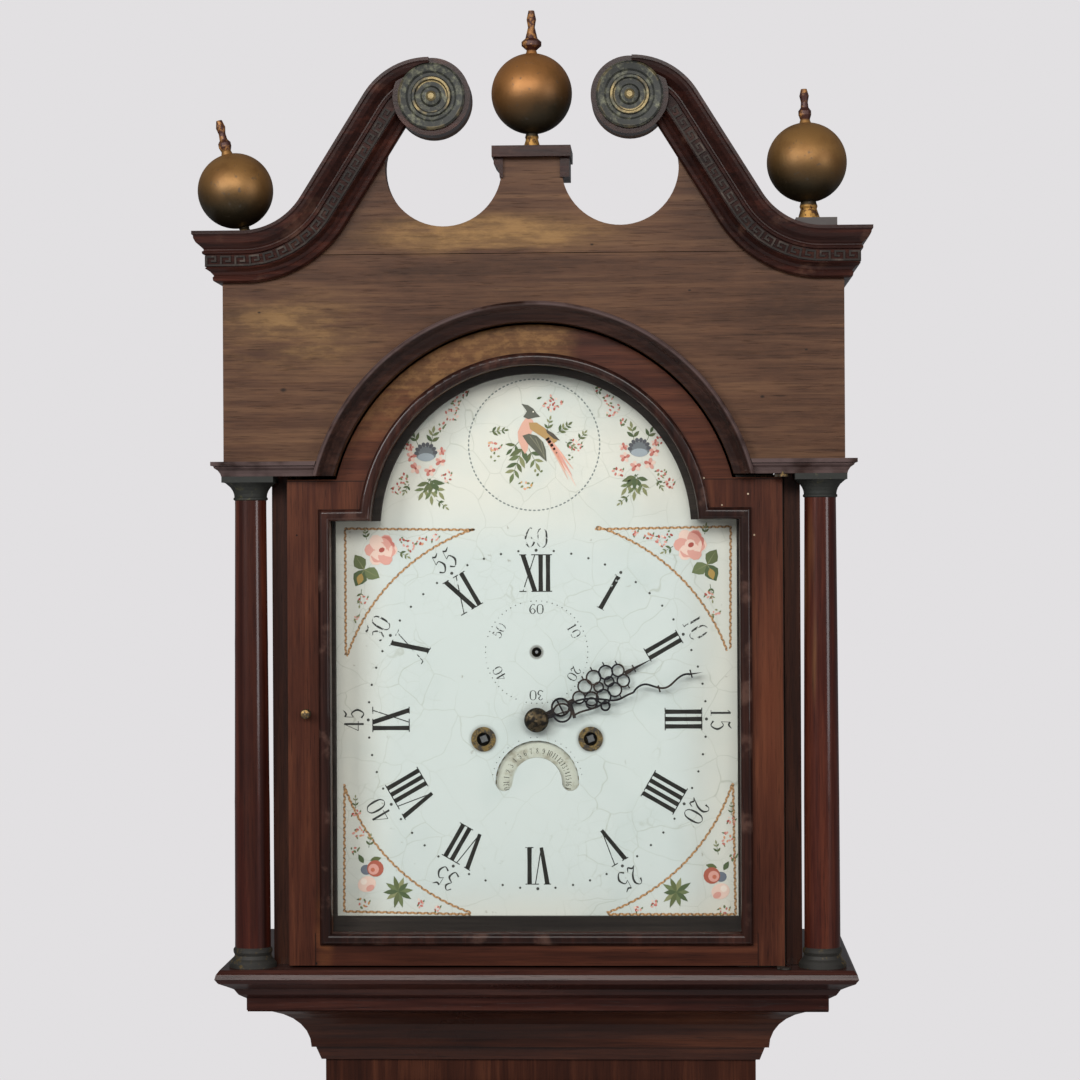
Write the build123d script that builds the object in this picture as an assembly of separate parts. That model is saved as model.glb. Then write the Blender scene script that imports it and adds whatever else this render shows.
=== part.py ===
from build123d import *
import math
import os

# A provincial longcase clock with a swan-neck hood, a painted break-arch dial and an
# eight-day striking movement. Millimetres, +Z up, front towards -Y, the floor at z = 0
# and the middle of the case's footprint at the origin.

# Heights above the floor
plinth_top = 95.0
base_top = 450.0
trunk_bottom = 440.0
trunk_door_bottom = 560.0
trunk_door_top = 1400.0
throat_bottom = 1424.0
hood_bottom = 1470.0
hood_base_top = 1503.0
seat_bottom = 1592.0
seat_top = 1610.0
string_bottom = 1874.5
string_top = 1885.5
board_joint = 2041.0
cornice_top = 2058.0
horn_top = 2186.0
cap_bottom = 2112.75
cap_top = 2121.0
clock_top = 2224.5

# Half widths
trunk_half = 166.5
base_half = 205.0
plinth_half = 215.0
frieze_half = 233.6
hood_side_half = 201.0
hood_base_half = 220.0
door_half = 187.0
column_x = 215.6

# Depths, from the wall at the back to the front faces
back = 131.0
trunk_front = -38.5
base_front = -82.0
plinth_front = -92.0
frieze_front = -110.5
hood_base_front = -97.0
column_y = -92.5
door_front = -100.0
door_back = -82.0
board = 12.0
front_board = 16.0

# Break arch of the door, the mask and the dial, and the arch in the frieze
arch_z = 1833.75
glass_half = 154.5
glass_bottom = 1529.0
glass_shoulder = 1840.5
glass_arch_r = 124.0
bead_width = 9.0
bead_reach = 4.6
bead_round = 3.4
door_arch_r = 154.2
frieze_arch_r = 156.0
arch_moulding_r = 171.0

# Swan neck: foot of the curve, its slope, its radii and the scroll at its end
neck_foot_x = 216.7
neck_slope = math.radians(58)
neck_lower_r = 52.5
neck_upper_r = 57.6
horn_x = 74.0
horn_r = 29.0
horn_z = horn_top - horn_r
scroll_reach = 15.5
roundel_r = 25.0
cut_x = 66.4
cut_z = 2105.6
cut_r = 44.0
pedestal_half = 21.4
finial_y = -100.5

# Pins of the hood door's straps
door_pivot = (187.0, frieze_front)
hinge_pin_r = 2.0
pin_reach = 6.0

# Dial, hands and the holes in the dial
dial_z = 1688.2
dial_half = 155.5
dial_bottom = 1537.0
dial_arch_r = 122.0
mask_half = 153.0
mask_arch_r = 118.5
dial_front = -66.0
dial_back = -64.0
winding_x = 41.0
winding_z = dial_z - 15.0
seconds_z = dial_z + 51.5
date_z = 1640.0
hour_hand_angle = 62.4
minute_hand_angle = 74.3
hand_thick = 1.2

# Movement: plates, train levels and the pendulum line
plate_half = 84.0
plate_top = 1782.0
plate_thick = 3.0
front_plate_front = -18.0
front_plate_back = front_plate_front + plate_thick
back_plate_front = 42.0
back_plate_back = back_plate_front + plate_thick
wheel_thick = 2.0
pivot_r = 1.2
pivot_gap = 0.06
barrel_r = 25.0
gut_r = 0.8
line_r = barrel_r + gut_r
barrel_y = 13.0
anchor_z = seconds_z + 27.5
pendulum_y = 68.0
pendulum_length = 994.0
bob_z = anchor_z - pendulum_length
bob_r = 55.0

# Weights and their pulleys, half way down
pulley_z = 950.0
weight_r = 28.0
weight_height = 190.0

# Wheel teeth and modules, from the barrel up to the escape wheel and the fly
great_teeth = 72
centre_teeth = 45
third_teeth = 48
escape_teeth = 30
leaves = 6
great_module = 1.12
centre_module = 1.12
third_module = 1.05
strike_great_teeth = 60
pin_teeth = 48
pallet_teeth = 42
warning_teeth = 42
strike_module = 1.0
motion_teeth = 30
motion_module = 1.0
hour_teeth = 72
hour_module = 2 * motion_module * motion_teeth / (hour_teeth + leaves)


# Shared shapes

def block(x0, x1, y0, y1, z0, z1):
    """A board or bar between two corners."""
    size = (x1 - x0, y1 - y0, z1 - z0)
    middle = ((x0 + x1) / 2, (y0 + y1) / 2, (z0 + z1) / 2)
    return Pos(*middle) * Box(*size)


def slab(shape, front, rear):
    """A flat shape drawn in the front view, x across and z up, made into a board."""
    return extrude(Plane.XZ.offset(-rear) * shape, rear - front)


def rod_y(x, z, radius, front, rear):
    """A round bar that runs from front to back."""
    return slab(Pos(x, z) * Circle(radius), front, rear)


def upright(radius, low, high, x=0.0, y=0.0):
    """A round bar that stands up."""
    return Pos(x, y, (low + high) / 2) * Cylinder(radius, high - low)


def turned(points, x, y):
    """A turning about an upright axis, from radius and height pairs or edges."""
    profile = make_face(Plane.XZ * Polyline(*points, close=True))
    return Pos(x, y, 0) * revolve(profile, Axis.Z)


def mitred(points, half, front, rear=back):
    """A moulding round the front and both sides, mitred at the front corners."""
    path = Polyline((half, rear, 0), (half, front, 0), (-half, front, 0), (-half, rear, 0))
    start = Plane(origin=(half, rear, 0), x_dir=(1, 0, 0), z_dir=(0, -1, 0))
    section = make_face(Polyline(*points, close=True))
    return sweep(start * section, path, transition=Transition.RIGHT)


def both_sides(shape):
    """The shape and its mirror image on the other side of the clock."""
    return [shape, mirror(shape, about=Plane.YZ)]


def break_arch(half, low, shoulder, radius, centre=arch_z):
    """A rectangle with a lower arch standing on its top edge."""
    body = Pos(0, (low + shoulder) / 2) * Rectangle(2 * half, shoulder - low)
    top = Pos(0, centre) * Circle(radius)
    top -= Pos(0, shoulder - 2 * radius) * Rectangle(4 * radius, 4 * radius)
    return body + top


def toothed(teeth, module, direction, gap=False, bore=0.0, depth=1.25):
    """A wheel of pointed teeth. A tooth, or a gap, faces the direction in degrees."""
    pitch = 360 / teeth
    tip = module * (teeth / 2 + 1.0)
    root = module * (teeth / 2 - depth)
    start = direction + (pitch / 2 if gap else 0)
    points = []
    for tooth in range(teeth):
        middle = start + tooth * pitch
        for angle, radius in ((-0.27 * pitch, root), (0, tip), (0.27 * pitch, root)):
            turn = math.radians(middle + angle)
            points.append((radius * math.cos(turn), radius * math.sin(turn)))
    wheel = make_face(Polyline(*points, close=True))
    if bore:
        wheel -= Circle(bore)
    return wheel


def crossed(wheel, rim, hub, turn=0.0, arms=4, arm_width=3.0):
    """A wheel cut out so that slim arms join its rim and hub."""
    ring = Circle(rim) - Circle(hub)
    for arm in range(arms // 2):
        ring -= Rot(0, 0, turn + 180 * arm / (arms // 2)) * Rectangle(2.2 * rim, arm_width)
    return wheel - ring


def beyond(point, distance, direction):
    """The place at a distance from a point, in the front view."""
    turn = math.radians(direction)
    return (point[0] + distance * math.cos(turn), point[1] + distance * math.sin(turn))


def bearing(start, end):
    """The direction in degrees from one point to another, in the front view."""
    return math.degrees(math.atan2(end[1] - start[1], end[0] - start[0]))


def arbor(point, radius, front, rear, pivot=pivot_r):
    """A steel arbor between the plates, with its two finer pivots."""
    x, z = point
    body = rod_y(x, z, radius, front_plate_back + 0.4, back_plate_front - 0.4)
    return body + rod_y(x, z, pivot, front, rear)


def write(name, shape):
    """One file for each sub-part. A list of solids stays separate in its file."""
    if isinstance(shape, list):
        solids = [solid for item in shape for solid in item.solids()]
        shape = Compound(children=solids)
    export_step(shape, f"parts/{name}.step")


os.makedirs("parts", exist_ok=True)


# Case: backboard, trunk, base and plinth

def backboard():
    """One tall board, with wider pieces glued on at the base and inside the hood."""
    low, high = 60, 2024
    narrow = Pos(0, (low + high) / 2) * Rectangle(2 * trunk_half, high - low)
    wide_half = base_half - board
    wide = Pos(0, (base_top + low) / 2) * Rectangle(2 * wide_half, base_top - low)
    ear_half = hood_side_half - board - 1
    ears = Pos(0, (hood_base_top + high) / 2) * Rectangle(2 * ear_half, high - hood_base_top)
    return slab(narrow + wide + ears, back - board, back)


def trunk_sides():
    """Side boards, which run up inside the hood as cheeks under the seatboard."""
    side = block(trunk_half - board, trunk_half, trunk_front + 18, back - board,
                 trunk_bottom, seat_bottom)
    return both_sides(side)


trunk_opening_half = 105.0


def trunk_front_frame():
    face = Pos(0, (trunk_bottom + hood_bottom) / 2) * Rectangle(
        2 * trunk_half, hood_bottom - trunk_bottom)
    opening = Pos(0, (trunk_door_bottom + trunk_door_top) / 2) * Rectangle(
        2 * trunk_opening_half, trunk_door_top - trunk_door_bottom)
    return slab(face - opening, trunk_front, trunk_front + 18)


def cove(width, height, steps):
    """Points of a hollow quarter curve, from the top edge in to the face below."""
    return [(width * (1 - math.sin(t * math.pi / 2 / steps)),
             -height * (1 - math.cos(t * math.pi / 2 / steps))) for t in range(steps + 1)]


def throat_moulding():
    reach = hood_base_half - trunk_half
    hollow = cove(reach - 10, 34, 8)
    points = [(0, hood_bottom), (reach, hood_bottom), (reach, hood_bottom - 1.5)]
    points += [(10 + p, hood_bottom - 1.5 + z) for p, z in hollow[1:]]
    points += [(7, hood_bottom - 35.5), (3, throat_bottom), (0, throat_bottom)]
    return mitred(points, trunk_half, trunk_front)


def base_moulding():
    reach = base_half - trunk_half
    low = base_top
    points = [(0, low), (reach + 6, low), (reach + 9, low + 4), (reach + 6, low + 8)]
    points += [(reach, low + 8), (reach - 10, low + 14), (reach - 24, low + 18)]
    points += [(8, low + 26), (4, low + 34), (0, low + 34)]
    return mitred(points, trunk_half, trunk_front)


def base_box():
    front = block(-base_half, base_half, base_front, base_front + front_board, 60, base_top - board)
    side = block(base_half - board, base_half, base_front + front_board, back, 60, base_top - board)
    inner = trunk_half - board
    top = block(-base_half, base_half, base_front, back - board, base_top - board, base_top)
    top -= block(-trunk_half, trunk_half, trunk_front, back, base_top - board - 1, base_top + 1)
    top -= block(-inner, inner, -20, back, base_top - board - 1, base_top + 1)
    floor = block(-base_half + board, base_half - board, base_front + front_board, back - board, 60, 72)
    return [front, top, floor] + both_sides(side)


def bracket_arch(half):
    """The low opening between two bracket feet, with hollow quarter-round ends."""
    height = 38
    end_r = 30
    arch = Rectangle(2 * half, 2 * height)
    for side in (-1, 1):
        arch -= Pos(side * half, height) * Circle(end_r)
    return arch


def plinth():
    thick = plinth_half - base_half
    points = [(0, 0), (thick, 0), (thick, plinth_top - 12), (thick - 3, plinth_top - 9)]
    points += [(thick - 4, plinth_top - 4), (2, plinth_top), (0, plinth_top)]
    skirt = mitred(points, base_half, base_front)
    front_cut = slab(bracket_arch(170), plinth_front - 5, base_front + 5)
    side_arch = Plane.YZ.offset(-plinth_half - 5) * (Pos(22, 0) * bracket_arch(85))
    return skirt - front_cut - extrude(side_arch, 2 * plinth_half + 10)


# Trunk door, lipped over its opening, hung on the right

trunk_pivot = (112.5, -44.5)
lip_half = 111.0


def trunk_door():
    low, high = trunk_door_bottom, trunk_door_top
    panel = block(-103.5, 103.5, -38.8, -22.5, low + 1.2, high - 1.2)
    lip = block(-lip_half, lip_half, -45, -38.8, low - 6, high + 6)
    lip = chamfer(lip.faces().sort_by(Axis.Y)[0].edges(), 3)
    return panel + lip


hinge_half = 26
knuckle_r = 2.2
knuckle_pin_r = 1.1


def trunk_hinge_places():
    return trunk_door_bottom + 110, trunk_door_top - 110


def trunk_hinges():
    """The fixed leaves: a cranked plate, an upper and a lower knuckle, and the pin."""
    x, y = trunk_pivot
    pieces = []
    for z in trunk_hinge_places():
        leaf = block(x + 0.4, x + 15, trunk_front - 1.2, trunk_front, z - hinge_half, z + hinge_half)
        for low, high in ((z - hinge_half, z - 9), (z + 9, z + hinge_half)):
            leaf += block(x + 0.4, x + knuckle_r, y, trunk_front, low, high)
            leaf += upright(knuckle_r, low, high, x, y)
        pieces.append(leaf + upright(knuckle_pin_r, z - hinge_half, z + hinge_half, x, y))
    return pieces


def trunk_door_brass():
    """The door's two hinge leaves with their middle knuckles, and the keyhole plate."""
    x, y = trunk_pivot
    pieces = []
    for z in trunk_hinge_places():
        leaf = upright(knuckle_r, z - 8.8, z + 8.8, x, y)
        leaf += block(x - 14, x, y - 1.7, y - 0.5, z - 8.8, z + 8.8)
        leaf += block(x - 14, x - 5, y - 1.7, y - 0.5, z - 24, z + 24)
        pieces.append(leaf - upright(knuckle_pin_r + pivot_gap, z - 10, z + 10, x, y))
    keyhole_z = 1000
    plate = Pos(-92, keyhole_z) * Ellipse(9, 15)
    plate -= Pos(-92, keyhole_z + 4) * Circle(2.6)
    plate -= Pos(-92, keyhole_z - 1) * Rectangle(2.6, 9)
    pieces.append(slab(plate, -46, -45))
    return pieces


# Hood: base frame, carcass, frieze, arch and string mouldings

hood_low = hood_bottom + 0.3


def hood_base_frame():
    """Moulded rails round the front and sides, open in the middle for the trunk."""
    inner = trunk_half + 1.5
    depth = hood_base_half - inner
    low, high = hood_low, hood_base_top
    points = [(-depth, low), (0, low), (0, low + 9), (5.5, low + 12.5), (8.5, low + 17)]
    points += [(14, low + 20), (19, low + 22.5), (21.5, low + 26), (20.5, low + 29.5)]
    points += [(18, high), (-depth, high)]
    pin_bore = upright(hinge_pin_r + pivot_gap, high - pin_reach - 1, high + 1, *door_pivot)
    return mitred(points, hood_base_half, hood_base_front) - pin_bore


def top_pin_bore():
    """The hole above the door in which the top strap's pin turns."""
    return upright(hinge_pin_r + pivot_gap, string_bottom - 1, string_bottom + pin_reach + 1, *door_pivot)


def hood_carcass():
    """Side boards, frieze sides, the soffits that join them, and the roof."""
    rear = back
    side = block(hood_side_half - board, hood_side_half, door_back + 2, rear,
                 hood_base_top, string_bottom)
    soffit = block(hood_side_half - board, frieze_half - board, frieze_front + front_board, rear,
                   string_bottom, string_top)
    frieze = block(frieze_half - board, frieze_half, frieze_front + front_board, rear,
                   string_bottom, cornice_top)
    roof = block(-frieze_half + board, frieze_half - board, frieze_front + front_board, rear,
                 2028, 2036)
    return [roof] + both_sides(side) + both_sides(soffit) + both_sides(frieze)


def frieze_board():
    face = Pos(0, (string_bottom + board_joint) / 2) * Rectangle(
        2 * frieze_half, board_joint - string_bottom - 0.5)
    face -= Pos(0, arch_z) * Circle(frieze_arch_r)
    return slab(face, frieze_front, frieze_front + front_board) - top_pin_bore()


def neck_points():
    """Ends of the swan neck's two arcs, on the right-hand side."""
    sine, cosine = math.sin(neck_slope), math.cos(neck_slope)
    rise = horn_top - cornice_top - (neck_lower_r + neck_upper_r) * (1 - cosine)
    run = rise / sine
    foot = (neck_foot_x, cornice_top)
    lower = (foot[0] - neck_lower_r * sine, foot[1] + neck_lower_r * (1 - cosine))
    upper = (lower[0] - run * cosine, lower[1] + run * sine)
    end = (upper[0] - neck_upper_r * sine, horn_top)
    return foot, lower, upper, end


def neck_arcs():
    """The swan neck's lower arc, its straight and its upper arc, drawn in the front view."""
    foot, lower, upper, end = neck_points()
    half = neck_slope / 2
    low_mid = (foot[0] - neck_lower_r * math.sin(half), foot[1] + neck_lower_r * (1 - math.cos(half)))
    top_mid = (end[0] + neck_upper_r * math.sin(half), end[1] - neck_upper_r * (1 - math.cos(half)))
    return [ThreePointArc(foot, low_mid, lower), Line(lower, upper), ThreePointArc(upper, top_mid, end)]


def pediment_board():
    foot, lower, upper, end = neck_points()
    low = board_joint + 0.25
    edges = [Line((0, low), (frieze_half, low)), Line((frieze_half, low), (frieze_half, cornice_top)),
             Line((frieze_half, cornice_top), foot)] + neck_arcs()
    edges += [Line(end, (end[0], cut_z)), Line((end[0], cut_z), (0, cut_z)), Line((0, cut_z), (0, low))]
    half = make_face(edges)
    half -= Pos(cut_x, cut_z) * Circle(cut_r)
    half += Pos(horn_x, horn_z) * Circle(horn_r)
    half += Pos(pedestal_half / 2, (cut_z - 20 + cap_bottom) / 2) * Rectangle(
        pedestal_half, cap_bottom - cut_z + 20)
    face = half + mirror(half, about=Plane.YZ)
    return slab(face, frieze_front, frieze_front + front_board)


def cornice_section():
    """Projection and height of the cornice below its top edge."""
    points = [(0, 0), (20.5, 0), (20.5, -2.4), (19.4, -3.4), (19.2, -5.4), (17.6, -8.4), (14.4, -11.2)]
    points += [(12.4, -13.2), (12.4, -14.2), (13.6, -15), (13.4, -16.6), (11.4, -17.2), (10.6, -26.6)]
    points += [(11.6, -27.4), (8, -29.8), (5.6, -32.6), (6.6, -34), (6.2, -36.4), (3.4, -37.8), (0, -37.8)]
    return points


def swan_neck():
    """The right-hand cornice: the neck in front and its return along the side."""
    start_x = frieze_half + 24
    foot = neck_points()[0]
    path = Plane.XZ.offset(-frieze_front) * Wire([Line((start_x, cornice_top), foot)] + neck_arcs())
    start = Plane(origin=(start_x, frieze_front, cornice_top), x_dir=(0, -1, 0), z_dir=(-1, 0, 0))
    front = sweep(start * make_face(Polyline(*cornice_section(), close=True)), path)
    corner = Polyline((frieze_half, frieze_front), (frieze_half + 60, frieze_front - 60),
                      (frieze_half + 60, frieze_front + 60), (frieze_half, frieze_front + 60), close=True)
    beyond_mitre = extrude(Plane.XY.offset(cornice_top - 60) * make_face(corner), 80)
    front -= beyond_mitre
    side_plane = Plane(origin=(frieze_half, back, cornice_top), x_dir=(1, 0, 0), z_dir=(0, -1, 0))
    side = extrude(side_plane * make_face(Polyline(*cornice_section(), close=True)),
                   back - frieze_front + 24)
    keep = Polyline((frieze_half, frieze_front), (frieze_half + 60, frieze_front - 60),
                    (frieze_half + 60, back), (frieze_half, back), close=True)
    side &= extrude(Plane.XY.offset(cornice_top - 60) * make_face(keep), 80)
    scroll = rod_y(horn_x, horn_z, horn_r, frieze_front - scroll_reach, frieze_front)
    seat = rod_y(horn_x, horn_z, roundel_r + 0.2, frieze_front - 30, frieze_front - scroll_reach)
    return front + scroll + side - seat


def roundel(x):
    """A turned brass patera on the scroll: rim, hollow, ring and pointed boss."""
    front = frieze_front - scroll_reach
    points = [(0, 0), (roundel_r, 0), (roundel_r, 2.2), (23.5, 3.4), (19, 2.6), (17.5, 1.4), (15.4, 1.4)]
    points += [(14.4, 3.6), (12.8, 3.6), (11.8, 1.4), (8, 1.2), (6.5, 3.2), (4, 3.6), (2.2, 5), (0, 5)]
    profile = make_face(Plane.XZ * Polyline(*points, close=True))
    return Pos(x, front, horn_z) * Rot(90, 0, 0) * revolve(profile, Axis.Z)


def arch_moulding():
    """The arch round the door head and the strings that run from its feet round the sides."""
    lift = string_top - arch_z
    spring = math.sqrt(arch_moulding_r ** 2 - lift ** 2)
    inner, outer = frieze_arch_r, arch_moulding_r
    section = [(inner, 0), (inner, 2.6), (inner + 2, 2.8), (inner + 5, 3.8), (inner + 8, 6), (inner + 10, 8.6),
               (inner + 11.5, 9.8), (outer - 2, 9.8), (outer - 0.6, 8.4), (outer, 6), (outer, 0)]
    profile = make_face(Plane.XZ * Polyline(*section, close=True))
    ring = Pos(0, frieze_front, arch_z) * Rot(90, 0, 0) * revolve(profile, Axis.Z)
    arch = ring - block(-200, 200, -150, 0, arch_z - 200, string_bottom)
    low, high = string_bottom, string_top
    points = [(0, low), (1.6, low), (2.2, low + 2), (3.8, low + 4.4), (6.4, low + 6.2), (6.8, low + 7.6)]
    points += [(8.8, low + 8), (8.8, high), (0, high)]
    string = mitred(points, frieze_half, frieze_front)
    middle = 2 * (spring - 4)
    string -= block(-middle / 2, middle / 2, frieze_front - 20, frieze_front + 1, low - 1, high + 1)
    string -= rod_y(0, arch_z, arch_moulding_r - 0.01, frieze_front - 20, frieze_front + 1)
    return [arch] + [solid - top_pin_bore() for solid in string.solids()]


# Hood door: frame, bead, glass, straps with pins, and knob

door_bottom = hood_base_top + 1.5
door_shoulder = string_bottom - 2.5


def door_outline():
    return break_arch(door_half, door_bottom, door_shoulder, door_arch_r)


def hood_door_frame():
    opening = break_arch(glass_half, glass_bottom, glass_shoulder, glass_arch_r)
    frame = slab(door_outline() - opening, door_front, door_back)
    rebate = break_arch(glass_half + 5, glass_bottom - 5, glass_shoulder + 5, glass_arch_r + 5)
    return frame - slab(rebate, door_front + 8, door_back + 1)


def hood_door_bead():
    """The rounded bead that stands round the glass."""
    inner = break_arch(glass_half, glass_bottom, glass_shoulder, glass_arch_r)
    margin = bead_width
    outer = break_arch(glass_half + margin, glass_bottom - margin, glass_shoulder + margin,
                       glass_arch_r + margin)
    bead = slab(outer - inner, door_front - bead_reach, door_front)
    crest = bead.faces().sort_by(Axis.Y)[0]
    return fillet(crest.edges(), bead_round)


def hood_door_glass():
    pane = break_arch(glass_half + 4.5, glass_bottom - 4.5, glass_shoulder + 4.5, glass_arch_r + 4.5)
    return slab(pane, door_front + 8, door_front + 10.4)


def hood_door_brass():
    """Top and bottom straps with their pins, and the small knob on the left stile."""
    x, y = door_pivot
    pieces = []
    for low, high, pin_low, pin_high in (
            (door_shoulder, door_shoulder + 1.8, door_shoulder, string_bottom + pin_reach),
            (door_bottom - 1.2, door_bottom, hood_base_top - pin_reach, door_bottom)):
        strap = block(x - 35, x - 2, door_front + 3, door_back - 3, low, high)
        arm = block(x - 6, x, y, door_front + 6, low, high)
        eye = upright(4, low, high, x, y)
        pin = upright(hinge_pin_r, pin_low, pin_high, x, y)
        pieces.append(strap + arm + eye + pin)
    knob = revolve(make_face(Plane.XZ * Polyline((0, 0), (3.6, 0), (2, 3), (3.8, 6), (3.2, 8.5), (0, 9.5),
                                                 close=True)), Axis.Z)
    pieces.append(Pos(-173, door_front, 1695) * Rot(90, 0, 0) * knob)
    return pieces


def dial_mask():
    """The board behind the door that frames the dial."""
    outer = break_arch(hood_side_half - board - 0.5, hood_base_top, door_shoulder, frieze_arch_r - 6)
    opening = break_arch(mask_half, dial_bottom + 2, glass_shoulder, mask_arch_r)
    return slab(outer - opening, -80.5, -73)


# Columns with their capitals and bases

capital_low = 1856.5

def hood_columns():
    low, high = 1518.0, capital_low
    shaft = turned([(0, low), (13.6, low), (13.3, low + 110), (12.6, low + 230), (11.9, high), (0, high)],
                   column_x, column_y)
    return both_sides(shaft)


def beside(shape):
    """What stands outside the hood's side boards, cut to fit round their front edges."""
    side_board = block(-hood_side_half, hood_side_half, door_back + 2, back, hood_base_top - 5, 1890)
    return shape - side_board


def column_capitals():
    """A hollow neck that spreads to the square abacus under the frieze."""
    x, y, low, abacus_low = column_x, column_y, capital_low, string_bottom - 4.5
    neck = turned([(0, low), (11.9, low), (13.0, low + 0.6), (13.0, low + 2), (12.3, low + 2.6),
                   (12.6, low + 5), (13.6, low + 7.6), (15.4, low + 10.2), (18, low + 12.4),
                   (19.4, abacus_low), (0, abacus_low)], x, y)
    abacus = block(x - 19.5, x + 19.5, y - 19.5, y + 19.5, abacus_low, string_bottom)
    return both_sides(beside(neck + abacus))


def column_bases():
    low = hood_base_top
    base = turned([(0, low), (18, low), (18, low + 3), (16.5, low + 5), (15, low + 6.5), (13.8, low + 9),
                   (14.8, low + 11.5), (14.8, low + 13.5), (13.6, 1518), (0, 1518)], column_x, column_y)
    return both_sides(beside(base))


# Finials and the centre pedestal

def pedestal_cap():
    """The cap board, its two side mouldings and the block behind the pedestal."""
    x = pedestal_half
    cap = block(-29.6, 29.6, frieze_front - 8, -64, cap_bottom, cap_top)
    rear_block = block(-x, x, frieze_front + front_board, -70, 2036, cap_bottom)
    right = block(x, x + 7, frieze_front - 2, -72, 2097.75, cap_bottom) - pediment_board()
    left_face = make_face(Polyline((-x, 2097.75), (-x - 2.5, 2097.75), (-x - 3, 2103), (-x - 7, 2108),
                                   (-x - 7, cap_bottom), (-x, cap_bottom), close=True))
    left = slab(left_face, frieze_front - 2, -72) - pediment_board()
    return [cap, rear_block, right, left]


def finial(ball_r, stem, foot_r, spire, knob_r):
    """A turned ball on a stem, with a cup and spire above. Its foot is at the origin."""
    middle = stem + ball_r - 1.0
    ball = Pos(0, 0, middle) * Sphere(ball_r)
    foot = turned([(0, 0), (foot_r, 0), (foot_r * 0.72, stem * 0.55), (foot_r * 0.8, stem * 0.7),
                   (foot_r * 0.6, stem + 1.5), (0, stem + 1.5)], 0, 0)
    top = middle + ball_r - 0.8
    spike = turned([(0, top), (4.6, top), (3.6, top + 3), (knob_r, top + 6.5), (knob_r, top + 9.5),
                    (knob_r * 0.62, top + 12), (2.6, top + spire * 0.62), (3.6, top + spire * 0.8),
                    (2.2, top + spire), (0, top + spire)], 0, 0)
    return ball + foot + spike


def finial_centre():
    ball_r = 30.4
    stem = 11.5
    spire = clock_top - cap_top - (stem + 2 * ball_r - 1.8)
    return Pos(0, finial_y, cap_top) * finial(ball_r, stem, 6.5, spire, 7.5)


def finial_right():
    """On a small block, leaning two degrees."""
    seat_top_z = 2065.5
    low = cornice_top - 20
    foot, lower, upper, end = neck_points()
    seat = block(197.6, 228.4, finial_y - 14, finial_y + 14, low, seat_top_z)
    under = make_face([Line((260, low), (260, cornice_top)), Line((260, cornice_top), foot), neck_arcs()[0],
                       Line(lower, (lower[0], low)), Line((lower[0], low), (260, low))])
    seat -= slab(under, finial_y - 20, finial_y + 20)
    body = Pos(208, finial_y, seat_top_z) * Rot(0, -2, 0) * finial(30, 13.5, 8.5, 26, 4.8)
    return [body - seat, seat]


def finial_left():
    """Its foot is lost, so it leans on a bare dowel."""
    body = Pos(-217.5, finial_y, cornice_top + 1.2) * Rot(0, -13, 0) * finial(28.5, 5.0, 5.0, 27, 4.8)
    return body - block(-260, -180, frieze_front, frieze_front + front_board, 2000, cornice_top)


# Dial, hands and date disc

def crescent(outer, inner):
    """The arched slot through which the date shows, with rounded ends."""
    middle = (outer + inner) / 2
    slot = Circle(outer) - Circle(inner) - Pos(0, -outer) * Rectangle(2 * outer, 2 * outer)
    for side in (-1, 1):
        slot += Pos(side * middle, 0) * Circle((outer - inner) / 2)
    return slot


def dial_plate():
    """Painted iron sheet with its riveted feet and the stud that carries the date disc."""
    sheet = break_arch(dial_half, dial_bottom, glass_shoulder + 3, dial_arch_r)
    sheet -= Pos(0, dial_z) * Circle(6.5)
    sheet -= Pos(0, seconds_z) * Circle(3.75)
    sheet -= Pos(0, date_z) * crescent(32, 19)
    for side in (-1, 1):
        sheet -= Pos(side * winding_x, winding_z) * Circle(7.2)
    plate = slab(sheet, dial_front, dial_back)
    for x in (-70, 70):
        for z in (1625, 1770):
            plate += rod_y(x, z, 3, dial_back, front_plate_front)
    plate += rod_y(0, date_z, 2, dial_back, -58)
    return plate


def dial_grommets():
    ring = Circle(9.4) - Circle(5.25)
    pieces = []
    for side in (-1, 1):
        place = Pos(side * winding_x, winding_z)
        pieces.append(slab(place * ring, dial_front - 0.8, dial_front)
                      + slab(place * (Circle(7.2) - Circle(5.25)), dial_front, dial_back + 0.5))
    return pieces


def date_disc():
    disc = toothed(31, 2.2, 0, bore=2 + pivot_gap)
    return slab(Pos(0, date_z) * disc, -62.4, -61.4)


def stroke(centre_line, width):
    """A flat bar of even width along a curve."""
    return trace(centre_line, width)


def ring_shape(u, v, radius, width):
    return Pos(u, v) * (Circle(radius + width / 2) - Circle(radius - width / 2))


def wavy(u):
    """The minute hand's blade: a wave that dies away towards the tip."""
    return 4.2 * (1 - 0.45 * (u - 77) / 46) * math.sin(2 * math.pi * (u - 77) / 33)


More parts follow.
